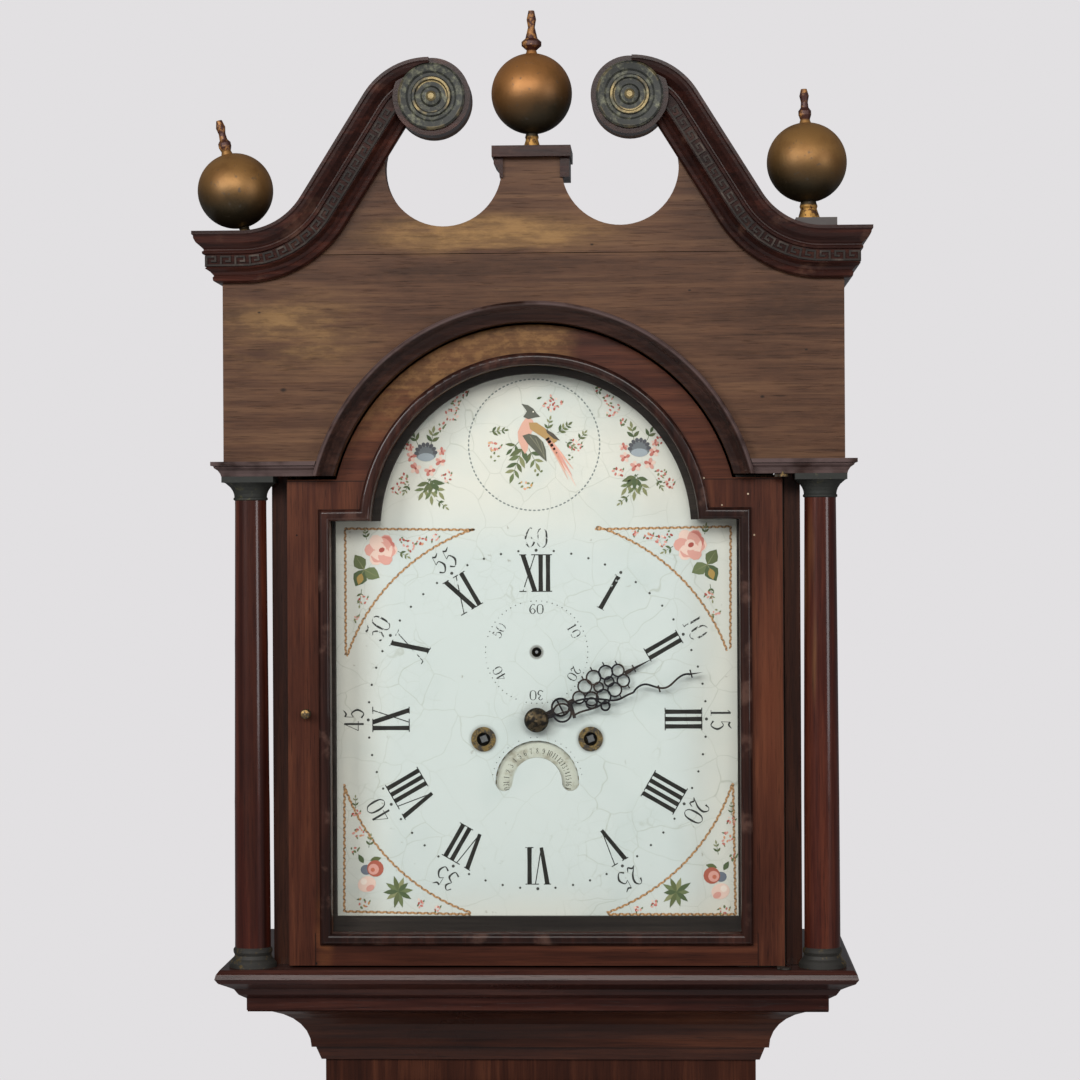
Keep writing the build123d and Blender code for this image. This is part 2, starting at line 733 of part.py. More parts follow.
def minute_hand():
    width = 1.5
    hand = Circle(8.6) - Circle(3.4)
    hand += Pos(11.2, 0) * Rectangle(6, 3.2)
    hand += ring_shape(20.4, 0, 6.9, width)
    hand += Pos(20.4, 0) * Rectangle(13, 1.2)
    hand += Pos(28.5, 0) * Rectangle(2.4, 13)
    hand += ring_shape(44, 0.9, 4.0, width) - Pos(44, 0) * Rectangle(30, 0.1)
    hand += stroke(Spline((28.5, 4.5), (42, 5.0), (55, 0.5), (63, -2.0), (70, -1.0), (77, 0)), width)
    hand += stroke(Spline((28.5, -4.5), (36, -3.2), (46, -3.1), (55, 0.4)), width)
    hand += ring_shape(53.5, -4.1, 3.2, width)
    blade = [(u, wavy(u)) for u in (77, 82, 87, 92, 97, 102, 107, 112, 117, 122)]
    hand += stroke(Spline(*blade), width)
    tip = wavy(122)
    hand += make_face(Polyline((121, tip - 0.8), (132, tip - 1.4), (121, tip + 0.8), close=True))
    hand += Pos(123, tip) * Rectangle(1.1, 6.4)
    hand += Pos(96.5, -2.6) * Rectangle(1.3, 5.4)
    return hand


def hour_hand():
    """Pierced steel: a ring, then a lattice of loops that narrows to the tip."""
    width = 1.3
    hand = Circle(9.2) - Circle(5)
    hand += Pos(11.5, 0) * Rectangle(6, 4)
    hand += ring_shape(20.6, 0, 6.6, 1.6)
    hand += Pos(20.6, 0) * Rectangle(1.3, 13)
    hand += Pos(29.5, 0) * Rectangle(6, 3.4)
    hand += ring_shape(36.5, 0, 4.6, width)
    for u, v, radius in ((44.5, 5.4, 5.2), (53.5, 8.2, 5.4), (63.5, 7.4, 5.2), (72.5, 4.4, 4.6)):
        hand += ring_shape(u, v, radius, width)
        hand += ring_shape(u, -v, radius, width)
        for side in (-1, 1):
            hand += Pos(u + 1.5, side * (v + radius + 1.2)) * Rectangle(1.0, 3.4)
    for u, radius in ((53.5, 3.6), (62.6, 3.6)):
        hand += ring_shape(u, 0, radius, width)
    hand += Pos(78.5, 0) * Rectangle(5, 3)
    hand += make_face(Polyline((80, -1.3), (102, 0), (80, 1.3), close=True))
    hand += Pos(84, 0) * Rectangle(1.1, 6)
    return hand


def placed_hand(shape, degrees_past_twelve, front):
    """A hand drawn along x, turned to its place on the dial."""
    turned_hand = Pos(0, dial_z) * Rot(0, 0, 90 - degrees_past_twelve) * shape
    return slab(turned_hand, front, front + hand_thick)


def hand_collet():
    """The domed brass collet and the pin that hold the hands."""
    points = [(0, 0), (9.3, 0), (9.3, 1.2), (7.6, 3.4), (4.2, 5), (0, 5.4)]
    dome = revolve(make_face(Plane.XZ * Polyline(*points, close=True)), Axis.Z)
    dome = Pos(0, -75.2, dial_z) * Rot(90, 0, 0) * dome
    dome -= rod_y(0, dial_z, 2.0, -79, -70)
    return dome


# Movement: where the arbors stand

centre = (0.0, dial_z)
escape = (0.0, seconds_z)
anchor_point = (0.0, anchor_z)
going_great = (winding_x, winding_z)
strike_great = (-winding_x, winding_z)
centre_reach = centre_module * (centre_teeth + leaves) / 2
third_reach = third_module * (third_teeth + leaves) / 2
rise = escape[1] - centre[1]
third_up = (centre_reach ** 2 - third_reach ** 2 + rise ** 2) / (2 * rise)
third = (math.sqrt(centre_reach ** 2 - third_up ** 2), centre[1] + third_up)
pin_arbor = beyond(strike_great, great_module * (strike_great_teeth + leaves) / 2, 100)
pallet_arbor = beyond(pin_arbor, strike_module * (pin_teeth + leaves) / 2, 60)
warning_arbor = beyond(pallet_arbor, strike_module * (pallet_teeth + leaves) / 2, 150)
fly_arbor = beyond(warning_arbor, strike_module * (warning_teeth + leaves) / 2, 60)
hammer_arbor = (-73.5, 1722.0)
minute_arbor = beyond(centre, motion_module * motion_teeth, 35)
pillar_places = [(-75, 1619), (75, 1619), (-60, 1776), (60, 1776)]
stud_r = 1.0


def wheel(point, teeth, module, towards, low, thick=wheel_thick, gap=False, hub=6.0):
    """A crossed-out wheel whose tooth or gap faces its neighbour."""
    shape = toothed(teeth, module, bearing(point, towards), gap)
    shape = crossed(shape, module * (teeth / 2 - 1.25) - 2.5, hub, bearing(point, towards))
    return slab(Pos(*point) * shape, low, low + thick)


def pinion(point, module, towards, low, high, gap=True, depth=1.3):
    shape = toothed(leaves, module, bearing(point, towards), gap, depth=depth)
    return slab(Pos(*point) * shape, low, high)


def plates():
    """Front plate, the back plate with its four riveted pillars, and the back cock."""
    outline = Pos(0, (seat_top + plate_top) / 2) * Rectangle(2 * plate_half, plate_top - seat_top)
    front = outline
    rear = outline
    for point in (third, pin_arbor, pallet_arbor, warning_arbor, fly_arbor, hammer_arbor):
        hole = Pos(*point) * Circle(pivot_r + pivot_gap)
        front -= hole
        rear -= hole
    for point in (going_great, strike_great):
        front -= Pos(*point) * Circle(3.6 + pivot_gap)
        rear -= Pos(*point) * Circle(2.5 + pivot_gap)
    for point in (centre, escape):
        front -= Pos(*point) * Circle(2.0 + pivot_gap)
        rear -= Pos(*point) * Circle(pivot_r + pivot_gap)
    front -= Pos(*anchor_point) * Circle(pivot_r + pivot_gap)
    rear -= Pos(*anchor_point) * Circle(4)
    back_plate = slab(rear, back_plate_front, back_plate_back)
    for x, z in pillar_places:
        back_plate += rod_y(x, z, 4, front_plate_back, back_plate_front)
    front_plate = slab(front, front_plate_front, front_plate_back)
    front_plate += rod_y(*minute_arbor, stud_r, -32, front_plate_front)
    return [front_plate, back_plate, back_cock()]


def great_wheel(point, teeth, towards):
    shape = toothed(teeth, great_module, bearing(point, towards), bore=4 + pivot_gap)
    turn = bearing(point, towards) + 30
    shape = crossed(shape, great_module * (teeth / 2 - 1.25) - 4, 20, turn, arm_width=5)
    return slab(Pos(*point) * shape, 33, 36)


def barrel(point):
    """Flanged barrel with its turns of gut, its ratchet, arbor and winding square."""
    x, z = point
    drum = rod_y(x, z, barrel_r, -8, 30) + rod_y(x, z, 27.2, -8, -6) + rod_y(x, z, 27.2, 28, 30)
    ratchet = slab(Pos(x, z) * toothed(16, 2.0, 20), 30.4, 32.4)
    shaft = rod_y(x, z, 4, -14.6, 41.6) + rod_y(x, z, 3.6, -20, -14) + rod_y(x, z, 2.5, 41, 45)
    square = slab(Pos(x, z) * Rot(0, 0, 20) * Rectangle(5, 5), -62, -20)
    return drum + ratchet + rod_y(x, z, 10, 30, 30.5) + shaft + square


def centre_arbor():
    x, z = centre
    shaft = rod_y(x, z, 2, -78.5, back_plate_front - 0.4) + rod_y(x, z, pivot_r, 40, back_plate_back)
    return (shaft + wheel(centre, centre_teeth, centre_module, third, -12.5)
            + pinion(centre, great_module, going_great, 31.5, 37.5))


def third_wheel():
    return (arbor(third, 1.8, front_plate_front, back_plate_back)
            + pinion(third, centre_module, centre, -14.2, -9)
            + wheel(third, third_teeth, third_module, escape, 38.4))


def escape_wheel():
    """Thirty fine pointed teeth that rake forward, and the long front pivot."""
    x, z = escape
    outer, root = 19.0, 15.4
    points = []
    for tooth in range(escape_teeth):
        start = 360 / escape_teeth * tooth
        for angle, radius in ((0, root), (-3.2, outer), (4.0, root)):
            turn = math.radians(start + angle)
            points.append((radius * math.cos(turn), radius * math.sin(turn)))
    shape = crossed(make_face(Polyline(*points, close=True)), 13.2, 4.5, 0, arm_width=2.4)
    shaft = rod_y(x, z, 2.0, -40, back_plate_front - 0.4) + rod_y(x, z, 1.2, -64.5, back_plate_back)
    return (shaft + slab(Pos(x, z) * shape, 20, 22)
            + pinion(escape, third_module, third, 37.2, 41.2))


def anchor():
    """Recoil anchor over the escape wheel, its arbor, and the crutch behind the plate."""
    x, z = anchor_point
    body = Circle(5)
    for side in (-1, 1):
        arm = Polyline((side * -1, 2.6), (side * 10, 0), (side * 17.2, -9.0), (side * 18.9, -16.6),
                       (side * 17.5, -16.0), (side * 14.4, -8.8), (side * 8, -2.6), (side * -1, -1.5),
                       close=True)
        body += make_face(arm)
    blade = slab(Pos(x, z) * body, 18, 24)
    shaft = rod_y(x, z, 1.8, front_plate_back + 0.4, 56.6) + rod_y(x, z, pivot_r, front_plate_front, 60.8)
    crutch = block(-2, 2, 48, 51, anchor_z - 120, anchor_z)
    fork = block(-5, 5, 48, 51, anchor_z - 124, anchor_z - 116)
    for side in (-1, 1):
        fork += block(min(side * 2.6, side * 5), max(side * 2.6, side * 5), 51, 72,
                      anchor_z - 124, anchor_z - 116)
    return blade + shaft + crutch + fork


def back_cock():
    """The bracket that carries the anchor's rear pivot and the pendulum's suspension."""
    z = anchor_z
    foot = block(-34, -24, back_plate_back, 60, z + 5, z + 12)
    foot += block(24, 34, back_plate_back, 60, z + 5, z + 12)
    bridge = block(-34, 34, 57, 61, z - 5, z + 12)
    bridge -= rod_y(0, z, pivot_r + pivot_gap, 50, 70)
    head = block(-6, 6, 61, 76, z - 1, z + 8)
    head -= block(-0.7, 0.7, 62, 77, z - 2, z + 3)
    return foot + bridge + head


def pendulum_rod():
    """Suspension spring, its brass ends, and the rod down to the rating thread."""
    y = pendulum_y
    spring = block(-0.4, 0.4, y - 5, y + 5, anchor_z - 34, anchor_z + 2.6)
    end = block(-4, 4, y - 4, y + 4, anchor_z - 44, anchor_z - 30)
    rod = upright(2.2, bob_z - 68, anchor_z - 40, 0, y)
    return spring + end + rod


def pendulum_bob():
    y = pendulum_y
    lens = [(0, -13), (30, -11.5), (46, -8), (54, -2.5), (bob_r, 0), (54, 2.5), (46, 8), (30, 11.5), (0, 13)]
    profile = make_face(Plane.XZ * Polyline(*lens, close=True))
    bob = Pos(0, y, bob_z) * Rot(90, 0, 0) * revolve(profile, Axis.Z)
    return bob - upright(2.3, bob_z - 70, bob_z + 70, 0, y)


def rating_nut():
    outline = Pos(0, pendulum_y) * (RegularPolygon(8, 8) - Circle(2.3))
    return extrude(Plane.XY.offset(bob_z - 62) * outline, 6.8)


def seatboard():
    shape = block(-trunk_half, trunk_half, -30, 56, seat_bottom, seat_top)
    for side in (-1, 1):
        for x in (side * winding_x - line_r, side * winding_x + line_r):
            shape -= block(x - 5, x + 5, 3, 23, seat_bottom - 1, seat_top + 1)
    return shape


def bell():
    """Domed bell above the plates, mouth down, with its post and bracket."""
    x, y, low = 12, 14, 1792
    outer = [(46, low), (44, low + 6), (40, low + 18), (31, low + 29), (18, low + 36), (0, low + 38)]
    inner = [(0, low + 35.5), (17, low + 33.5), (29, low + 27), (37.6, low + 17), (41.6, low + 6), (43, low)]
    shell = turned(outer + inner, x, y)
    post = upright(3, plate_top + 5, low + 46, x, y)
    nut = upright(5, low + 38, low + 43, x, y)
    bracket = block(x - 6, 52, y - 6, y + 6, plate_top + 1, plate_top + 5)
    bracket += block(40, 52, y - 6, 48, plate_top + 1, plate_top + 5)
    bracket += block(40, 52, back_plate_back, 48, plate_top - 8, plate_top + 5)
    return shell + post + nut + bracket


def hammer():
    """Arbor between the plates, the arm that rises beside the bell, and the head."""
    x, z = hammer_arbor
    arm = make_face(Polyline((-3, -3), (3, -3), (2.4, 40), (1.5, 79), (-1.5, 79), (-2.4, 40), close=True))
    head = Pos(-48, 14, 1799) * Rot(0, 90, 0) * Cylinder(5.5, 22)
    stem = block(x - 1.5, -58, 12.5, 15.5, 1797, 1801)
    tail = Rot(0, 0, bearing(hammer_arbor, pin_arbor)) * (Pos(2.9, 0) * Rectangle(5.8, 3))
    return (arbor(hammer_arbor, 2.2, front_plate_front, back_plate_back)
            + slab(Pos(x, z) * arm, 12.5, 15.5) + head + stem
            + slab(Pos(x, z) * tail, -10, -8))


def pin_wheel():
    """Strike pin wheel, with the eight pins that lift the hammer."""
    shape = (arbor(pin_arbor, 1.8, front_plate_front, back_plate_back)
             + pinion(pin_arbor, great_module, strike_great, 31.5, 37.5)
             + wheel(pin_arbor, pin_teeth, strike_module, pallet_arbor, -12.5))
    for pin in range(8):
        place = beyond(pin_arbor, 20.6, 45 * pin + 10)
        shape += rod_y(*place, 0.9, -12, -8.6)
    return shape


def pallet_wheel():
    return (arbor(pallet_arbor, 1.6, front_plate_front, back_plate_back)
            + pinion(pallet_arbor, strike_module, pin_arbor, -14.2, -9)
            + wheel(pallet_arbor, pallet_teeth, strike_module, warning_arbor, 26))


def warning_wheel():
    return (arbor(warning_arbor, 1.4, front_plate_front, back_plate_back)
            + pinion(warning_arbor, strike_module, pallet_arbor, 24.5, 29.5)
            + wheel(warning_arbor, warning_teeth, strike_module, fly_arbor, 6))


def fly():
    """The air brake: two flat vanes on the last strike arbor."""
    x, z = fly_arbor
    vane = block(x - 10.5, x + 10.5, 13, 36, z - 0.6, z + 0.6)
    return (arbor(fly_arbor, 1.4, front_plate_front, back_plate_back)
            + pinion(fly_arbor, strike_module, warning_arbor, 4, 10) + vane)


def cannon_pinion():
    shape = toothed(motion_teeth, motion_module, bearing(centre, minute_arbor)) - Circle(2.05)
    pipe = Circle(3.4) - Circle(2.05)
    return slab(Pos(*centre) * shape, -24, -22) + slab(Pos(*centre) * pipe, -74, -19)


def minute_wheel():
    shape = toothed(motion_teeth, motion_module, bearing(minute_arbor, centre), gap=True)
    shape -= Circle(stud_r + pivot_gap)
    small = toothed(leaves, hour_module, bearing(minute_arbor, centre), gap=True, depth=1.15)
    small -= Circle(stud_r + pivot_gap)
    return slab(Pos(*minute_arbor) * shape, -24, -22) + slab(Pos(*minute_arbor) * small, -30.5, -24)


def hour_wheel():
    """Hour wheel on its pipe, with the twelve-step snail in front of it."""
    shape = toothed(hour_teeth, hour_module, bearing(centre, minute_arbor)) - Circle(3.5)
    snail = Circle(8)
    for hour in range(12):
        reach = 8 + hour
        middle = beyond((0, 0), reach, 30 * hour + 15)
        start, end = beyond((0, 0), reach, 30 * hour), beyond((0, 0), reach, 30 * hour + 30)
        snail += make_face([Line((0, 0), start), ThreePointArc(start, middle, end), Line(end, (0, 0))])
    snail -= Circle(3.5)
    pipe = Circle(5) - Circle(3.5)
    return (slab(Pos(*centre) * shape, -29, -27) + slab(Pos(*centre) * snail, -33, -31.5)
            + slab(Pos(*centre) * pipe, -70.5, -26))


# Weights, pulleys and gut

def weight(x):
    """Iron weight with its hook, and the stirrup in which the pulley turns."""
    y = barrel_y
    top = pulley_z - 62
    low = top - weight_height
    body = turned([(0, low), (weight_r - 2, low), (weight_r, low + 3), (weight_r, top - 8),
                   (weight_r - 6, top), (0, top)], x, y)
    stem = upright(2.5, top - 1, pulley_z - 40, x, y)
    yoke = block(x - 4, x + 4, y - 7, y + 7, pulley_z - 42, pulley_z - 38)
    for side in (-1, 1):
        cheek = sorted((y + side * 4.6, y + side * 7))
        yoke += block(x - 4, x + 4, cheek[0], cheek[1], pulley_z - 42, pulley_z + 6)
    axle = rod_y(x, pulley_z, 2, y - 7, y + 7)
    return body + stem + yoke + axle


def pulley(x):
    y = barrel_y
    rim = line_r + 2.4
    points = [(2 + pivot_gap, -4), (6, -4), (6, -1.6), (rim - 6, -1.6), (rim, -4), (rim, -2.8),
              (line_r - gut_r - 0.4, -0.6), (line_r - gut_r - 0.4, 0.6), (rim, 2.8), (rim, 4),
              (rim - 6, 1.6), (6, 1.6), (6, 4), (2 + pivot_gap, 4)]
    profile = make_face(Plane.XZ * Polyline(*points, close=True))
    return Pos(x, y, pulley_z) * Rot(90, 0, 0) * revolve(profile, Axis.Z)


gut_split = seat_bottom - 2


def gut_uppers():
    """The runs above the seatboard's underside: off each barrel, and up to each tie."""
    pieces = []
    for x in (winding_x, -winding_x):
        pieces.append(upright(gut_r, gut_split, winding_z, x - line_r, barrel_y))
        tie = upright(gut_r, gut_split, seat_top + 1, x + line_r, barrel_y)
        pieces.append(tie + Pos(x + line_r, barrel_y, seat_top + 2.4) * Sphere(2.2))
    return pieces


def gut(x):
    """One unbroken run: down to the pulley, half round it and up again."""
    y = barrel_y
    left, right = x - line_r, x + line_r
    path = Wire([Line((left, y, gut_split), (left, y, pulley_z)),
                 ThreePointArc((left, y, pulley_z), (x, y, pulley_z - line_r), (right, y, pulley_z)),
                 Line((right, y, pulley_z), (right, y, gut_split))])
    start = Plane(origin=(left, y, gut_split), z_dir=(0, 0, -1))
    return sweep(start * Circle(gut_r), path)


# Write every sub-part

right_neck = swan_neck()

write("trunk_carcass", [backboard()] + trunk_sides())
write("trunk_front_frame", trunk_front_frame())
write("case_mouldings", [throat_moulding(), base_moulding(), plinth()])
write("base_box", base_box())
write("seatboard", seatboard())
write("trunk_hinges", trunk_hinges())
write("trunk_door", trunk_door())
write("trunk_door_brass", trunk_door_brass())

write("hood_base_frame", hood_base_frame())
write("hood_carcass", hood_carcass())
write("frieze_boards", [frieze_board(), pediment_board()])
write("swan_neck_right", right_neck)
write("swan_neck_left", mirror(right_neck, about=Plane.YZ))
write("roundels", [roundel(-horn_x), roundel(horn_x)])
write("arch_moulding", arch_moulding())
write("hood_columns", hood_columns())
write("column_capitals", column_capitals())
write("column_bases", column_bases())
write("pedestal_cap", pedestal_cap())
write("finial_centre", finial_centre())
write("finial_left", finial_left())
write("finial_right", finial_right())
write("dial_mask", dial_mask())

write("hood_door_frame", hood_door_frame())
write("hood_door_bead", hood_door_bead())
write("hood_door_glass", hood_door_glass())
write("hood_door_brass", hood_door_brass())

write("movement_plates", plates())
write("dial_plate", dial_plate())
write("dial_grommets", dial_grommets())
write("date_disc", date_disc())
write("bell", bell())
write("hammer", hammer())

write("centre_arbor", centre_arbor())
write("third_wheel", third_wheel())
write("escape_wheel", escape_wheel())
write("anchor", anchor())
write("pendulum_rod", pendulum_rod())
write("pendulum_bob", pendulum_bob())
write("rating_nut", rating_nut())
write("cannon_pinion", cannon_pinion())
write("minute_wheel", minute_wheel())
write("hour_wheel", hour_wheel())
write("hour_hand", placed_hand(hour_hand(), hour_hand_angle, -70.5))
write("minute_hand", [placed_hand(minute_hand(), minute_hand_angle, -75.2), hand_collet()])
write("pin_wheel", pin_wheel())
write("pallet_wheel", pallet_wheel())
write("warning_wheel", warning_wheel())
write("fly", fly())

write("gut_uppers", gut_uppers())
for name, x, teeth, point, towards in (("going", winding_x, great_teeth, going_great, centre),
                                       ("strike", -winding_x, strike_great_teeth, strike_great, pin_arbor)):
    write(f"great_wheel_{name}", great_wheel(point, teeth, towards))
    write(f"barrel_{name}", barrel(point))
    write(f"weight_{name}", weight(x))
    write(f"pulley_{name}", pulley(x))
    write(f"gut_{name}", gut(x))
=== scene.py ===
import math
import random

import bpy
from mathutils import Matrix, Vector


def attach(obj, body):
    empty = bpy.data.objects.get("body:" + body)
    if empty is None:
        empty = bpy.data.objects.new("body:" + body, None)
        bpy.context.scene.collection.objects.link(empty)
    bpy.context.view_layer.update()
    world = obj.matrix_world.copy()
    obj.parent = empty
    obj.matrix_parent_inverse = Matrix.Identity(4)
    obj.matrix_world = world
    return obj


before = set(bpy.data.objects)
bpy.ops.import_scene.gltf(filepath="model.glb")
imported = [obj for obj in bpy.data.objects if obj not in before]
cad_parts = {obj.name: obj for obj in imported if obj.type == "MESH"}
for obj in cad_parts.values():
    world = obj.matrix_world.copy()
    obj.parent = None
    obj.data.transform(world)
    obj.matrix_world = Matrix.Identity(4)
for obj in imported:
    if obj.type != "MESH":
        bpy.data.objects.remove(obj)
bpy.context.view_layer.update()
scene = bpy.context.scene


# Camera, light and floor.
# The clock is seen level, from a little over two metres and a hand's breadth to the right
# of its middle. The picture takes in the hood and the top of the trunk.

FRIEZE_Y = -0.1105
PICTURE_WIDTH = 0.81
PICTURE_MIDDLE = 0.0049
CAMERA_DISTANCE = 2.3
CAMERA_SIDE = 0.1
CAMERA_HEIGHT = 1.8255
CAMERA_LEAN = math.radians(0.3)

bpy.ops.object.select_all(action="DESELECT")
camera_data = bpy.data.cameras.new("camera")
camera_data.sensor_width = 36
camera_data.lens = 36 * CAMERA_DISTANCE / PICTURE_WIDTH
camera_data.clip_start = 0.05
camera = bpy.data.objects.new("camera", camera_data)
camera.location = (CAMERA_SIDE, FRIEZE_Y - CAMERA_DISTANCE, CAMERA_HEIGHT)
camera_yaw = math.atan((CAMERA_SIDE - PICTURE_MIDDLE) / CAMERA_DISTANCE)
camera.rotation_euler = (math.radians(90), CAMERA_LEAN, camera_yaw)
scene.collection.objects.link(camera)
scene.camera = camera
scene.view_settings.view_transform = "Standard"

world = bpy.data.worlds.new("room")
scene.world = world
world.use_nodes = True
nodes, links = world.node_tree.nodes, world.node_tree.links
ambient = nodes["Background"]
ambient.inputs["Color"].default_value = (0.93, 0.96, 1.0, 1)
ambient.inputs["Strength"].default_value = 0.16
pale = nodes.new("ShaderNodeBackground")
pale.inputs["Color"].default_value = (0.76, 0.745, 0.76, 1)
path = nodes.new("ShaderNodeLightPath")
mix = nodes.new("ShaderNodeMixShader")
links.new(path.outputs["Is Camera Ray"], mix.inputs[0])
links.new(ambient.outputs[0], mix.inputs[1])
links.new(pale.outputs[0], mix.inputs[2])
links.new(mix.outputs[0], nodes["World Output"].inputs["Surface"])


def soft_lamp(name, place, target, size, power, colour):
    """A rectangle of light, its size and place in metres, aimed at a target."""
    lamp = bpy.data.lights.new(name, "AREA")
    lamp.shape = "RECTANGLE"
    lamp.size, lamp.size_y = size
    lamp.energy = power
    lamp.color = colour
    body = bpy.data.objects.new(name, lamp)
    body.location = place
    aim = Vector(target) - Vector(place)
    body.rotation_euler = aim.to_track_quat("-Z", "Y").to_euler()
    scene.collection.objects.link(body)


soft_lamp("window_left", (-1.9, -2.6, 2.9), (0, 0, 1.75), (1.2, 1.4), 78, (0.96, 0.98, 1.0))
soft_lamp("window_right", (2.2, -1.9, 2.3), (0, 0, 1.7), (0.8, 1.6), 26, (0.98, 0.97, 1.0))
soft_lamp("room", (0.1, -3.3, 3.1), (0, 0, 1.7), (2.2, 0.9), 80, (1.0, 0.98, 0.95))

bpy.ops.mesh.primitive_plane_add(size=9, location=(0, -1.5, 0))
floor = bpy.context.object
floor.name = "floor"


# Trunk, base and mouldings of the case.
# Mahogany boards in front and at the sides, oak inside and for the seatboard, glued and
# nailed, under an old dull polish. The grain of each board follows its length.

def tint(red, green, blue):
    """A colour given as a painter's 0 to 255 values."""
    def linear(value):
        value /= 255
        return value / 12.92 if value <= 0.04045 else ((value + 0.055) / 1.055) ** 2.4
    return (linear(red), linear(green), linear(blue), 1)


class Socket:
    """One output of a shader node, for use in Python expressions."""

    def __init__(self, finish, socket):
        self.finish = finish
        self.socket = socket

    def __add__(self, other):
        return self.finish.maths("ADD", self, other)

    __radd__ = __add__

    def __mul__(self, other):
        return self.finish.maths("MULTIPLY", self, other)

    __rmul__ = __mul__

    def __sub__(self, other):
        return self.finish.maths("SUBTRACT", self, other)

    def __rsub__(self, other):
        return self.finish.maths("SUBTRACT", other, self)

    def __truediv__(self, other):
        return self.finish.maths("DIVIDE", self, other)

    def __pow__(self, other):
        return self.finish.maths("POWER", self, other)

    def out(self, name):
        return Socket(self.finish, self.socket.node.outputs[name])


class Finish:
    """A material, with the few node moves that every finish here is made of."""

    def __init__(self, name):
        self.material = bpy.data.materials.new(name)
        self.material.use_nodes = True
        self.tree = self.material.node_tree
        self.shader = self.tree.nodes["Principled BSDF"]
        self.place = self.node("ShaderNodeTexCoord").out("Object")
        split = self.node("ShaderNodeSeparateXYZ", Vector=self.place)
        self.x, self.y, self.z = split.out("X"), split.out("Y"), split.out("Z")

    def join(self, value, target):
        if isinstance(value, Socket):
            self.tree.links.new(value.socket, target)
        else:
            target.default_value = value

    def node(self, kind, settings=None, **inputs):
        made = self.tree.nodes.new(kind)
        for key, value in (settings or {}).items():
            setattr(made, key, value)
        for key, value in inputs.items():
            self.join(value, made.inputs[key.replace("_", " ")])
        return Socket(self, made.outputs[0])

    def maths(self, operation, *values):
        made = self.tree.nodes.new("ShaderNodeMath")
        made.operation = operation
        for target, value in zip(made.inputs, values):
            self.join(value, target)
        return Socket(self, made.outputs[0])

    def clamp(self, value):
        made = self.maths("MULTIPLY", value, 1.0)
        made.socket.node.use_clamp = True
        return made

    def step(self, value, low, high):
        """0 below low, 1 above high, and smooth between."""
        return self.node("ShaderNodeMapRange", {"interpolation_type": "SMOOTHSTEP"},
                         Value=value, From_Min=low, From_Max=high)

    def noise(self, scale, detail, stretch=None, rough=0.55, offset=0.0, distort=0.0):
        """Noise from 0 to 1, its scale times stretch along each axis."""
        place = self.place
        if stretch:
            place = self.node("ShaderNodeMapping", Vector=place, Scale=stretch,
                              Location=(offset, offset * 0.7, offset * 1.3))
        elif offset:
            place = self.node("ShaderNodeMapping", Vector=place, Location=(offset, offset, offset))
        return self.node("ShaderNodeTexNoise", Vector=place, Scale=scale, Detail=detail,
                         Roughness=rough, Distortion=distort)

    def reach(self, centre):
        """Distance on the front from a point given as x and z."""
        across = self.x - centre[0]
        up = self.z - centre[1]
        return self.maths("SQRT", across * across + up * up)

    def spot(self, centre, radii, soft=0.6):
        """1 in the middle of an oval on the front, falling to 0 at its edge."""
        across = (self.x - centre[0]) / radii[0]
        up = (self.z - centre[1]) / radii[1]
        reach = self.maths("SQRT", across * across + up * up)
        return 1.0 - self.step(reach, 1.0 - soft, 1.0)

    def mix(self, first, second, factor):
        """The first colour at 0 and the second at 1."""
        made = self.tree.nodes.new("ShaderNodeMix")
        made.data_type = "RGBA"
        self.join(factor, made.inputs[0])
        self.join(first, made.inputs[6])
        self.join(second, made.inputs[7])
        return Socket(self, made.outputs[2])

    def ramp(self, value, *stops):
        """Colours at the given places between 0 and 1."""
        made = self.tree.nodes.new("ShaderNodeValToRGB")
        ramp = made.color_ramp
        while len(ramp.elements) < len(stops):
            ramp.elements.new(0.5)
        for element, (position, colour) in zip(ramp.elements, stops):
            element.position = position
            element.color = colour
        self.join(value, made.inputs[0])
        return Socket(self, made.outputs[0])

    def bump(self, height, distance, strength):
        made = self.node("ShaderNodeBump", Height=height, Distance=distance, Strength=strength)
        self.tree.links.new(made.socket, self.shader.inputs["Normal"])

    def set(self, **values):
        """Fills sockets of the shader and hands back the finished material."""
        for key, value in values.items():
            self.join(value, self.shader.inputs[key.replace("_", " ")])
        return self.material


def dress(material, *names):
    """Gives CAD pieces their finish."""
    for name in names:
        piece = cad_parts[name]
        piece.data.materials.clear()
        piece.data.materials.append(material)


STRETCH = {"x": (1, 26, 26), "z": (26, 26, 1)}
WAXED = 0.09


def wood_colour(finish, dark, mid, pale, grain, offset=0.0):
    """Colour of old waxed wood, with its streaks and pores for roughness and bump."""
    stretch = STRETCH[grain]
    finish.shader.inputs["Specular IOR Level"].default_value = WAXED
    figure = finish.noise(3.2, 4.0, stretch, 0.55, offset, 0.8)
    streaks = finish.noise(14.0, 5.0, stretch, 0.65, offset + 2.0)
    pores = finish.noise(46.0, 2.0, stretch, 0.5, offset + 5.0)
    cloud = finish.noise(7.0, 3.0, None, 0.5, offset + 1.0)
    tone = finish.clamp(figure * 0.55 + streaks * 0.35 + cloud * 0.35 - 0.1)
    colour = finish.ramp(tone, (0.30, dark), (0.52, mid), (0.78, pale))
    pore = finish.step(pores, 0.60, 0.72)
    lines = finish.step(finish.noise(30.0, 3.0, stretch, 0.6, offset + 7.0), 0.50, 0.68)
    darkened = finish.mix(colour, dark, 0.75)
    colour = finish.mix(colour, darkened, finish.clamp(pore * 0.7 + lines * 0.45))
    return colour, streaks, pore


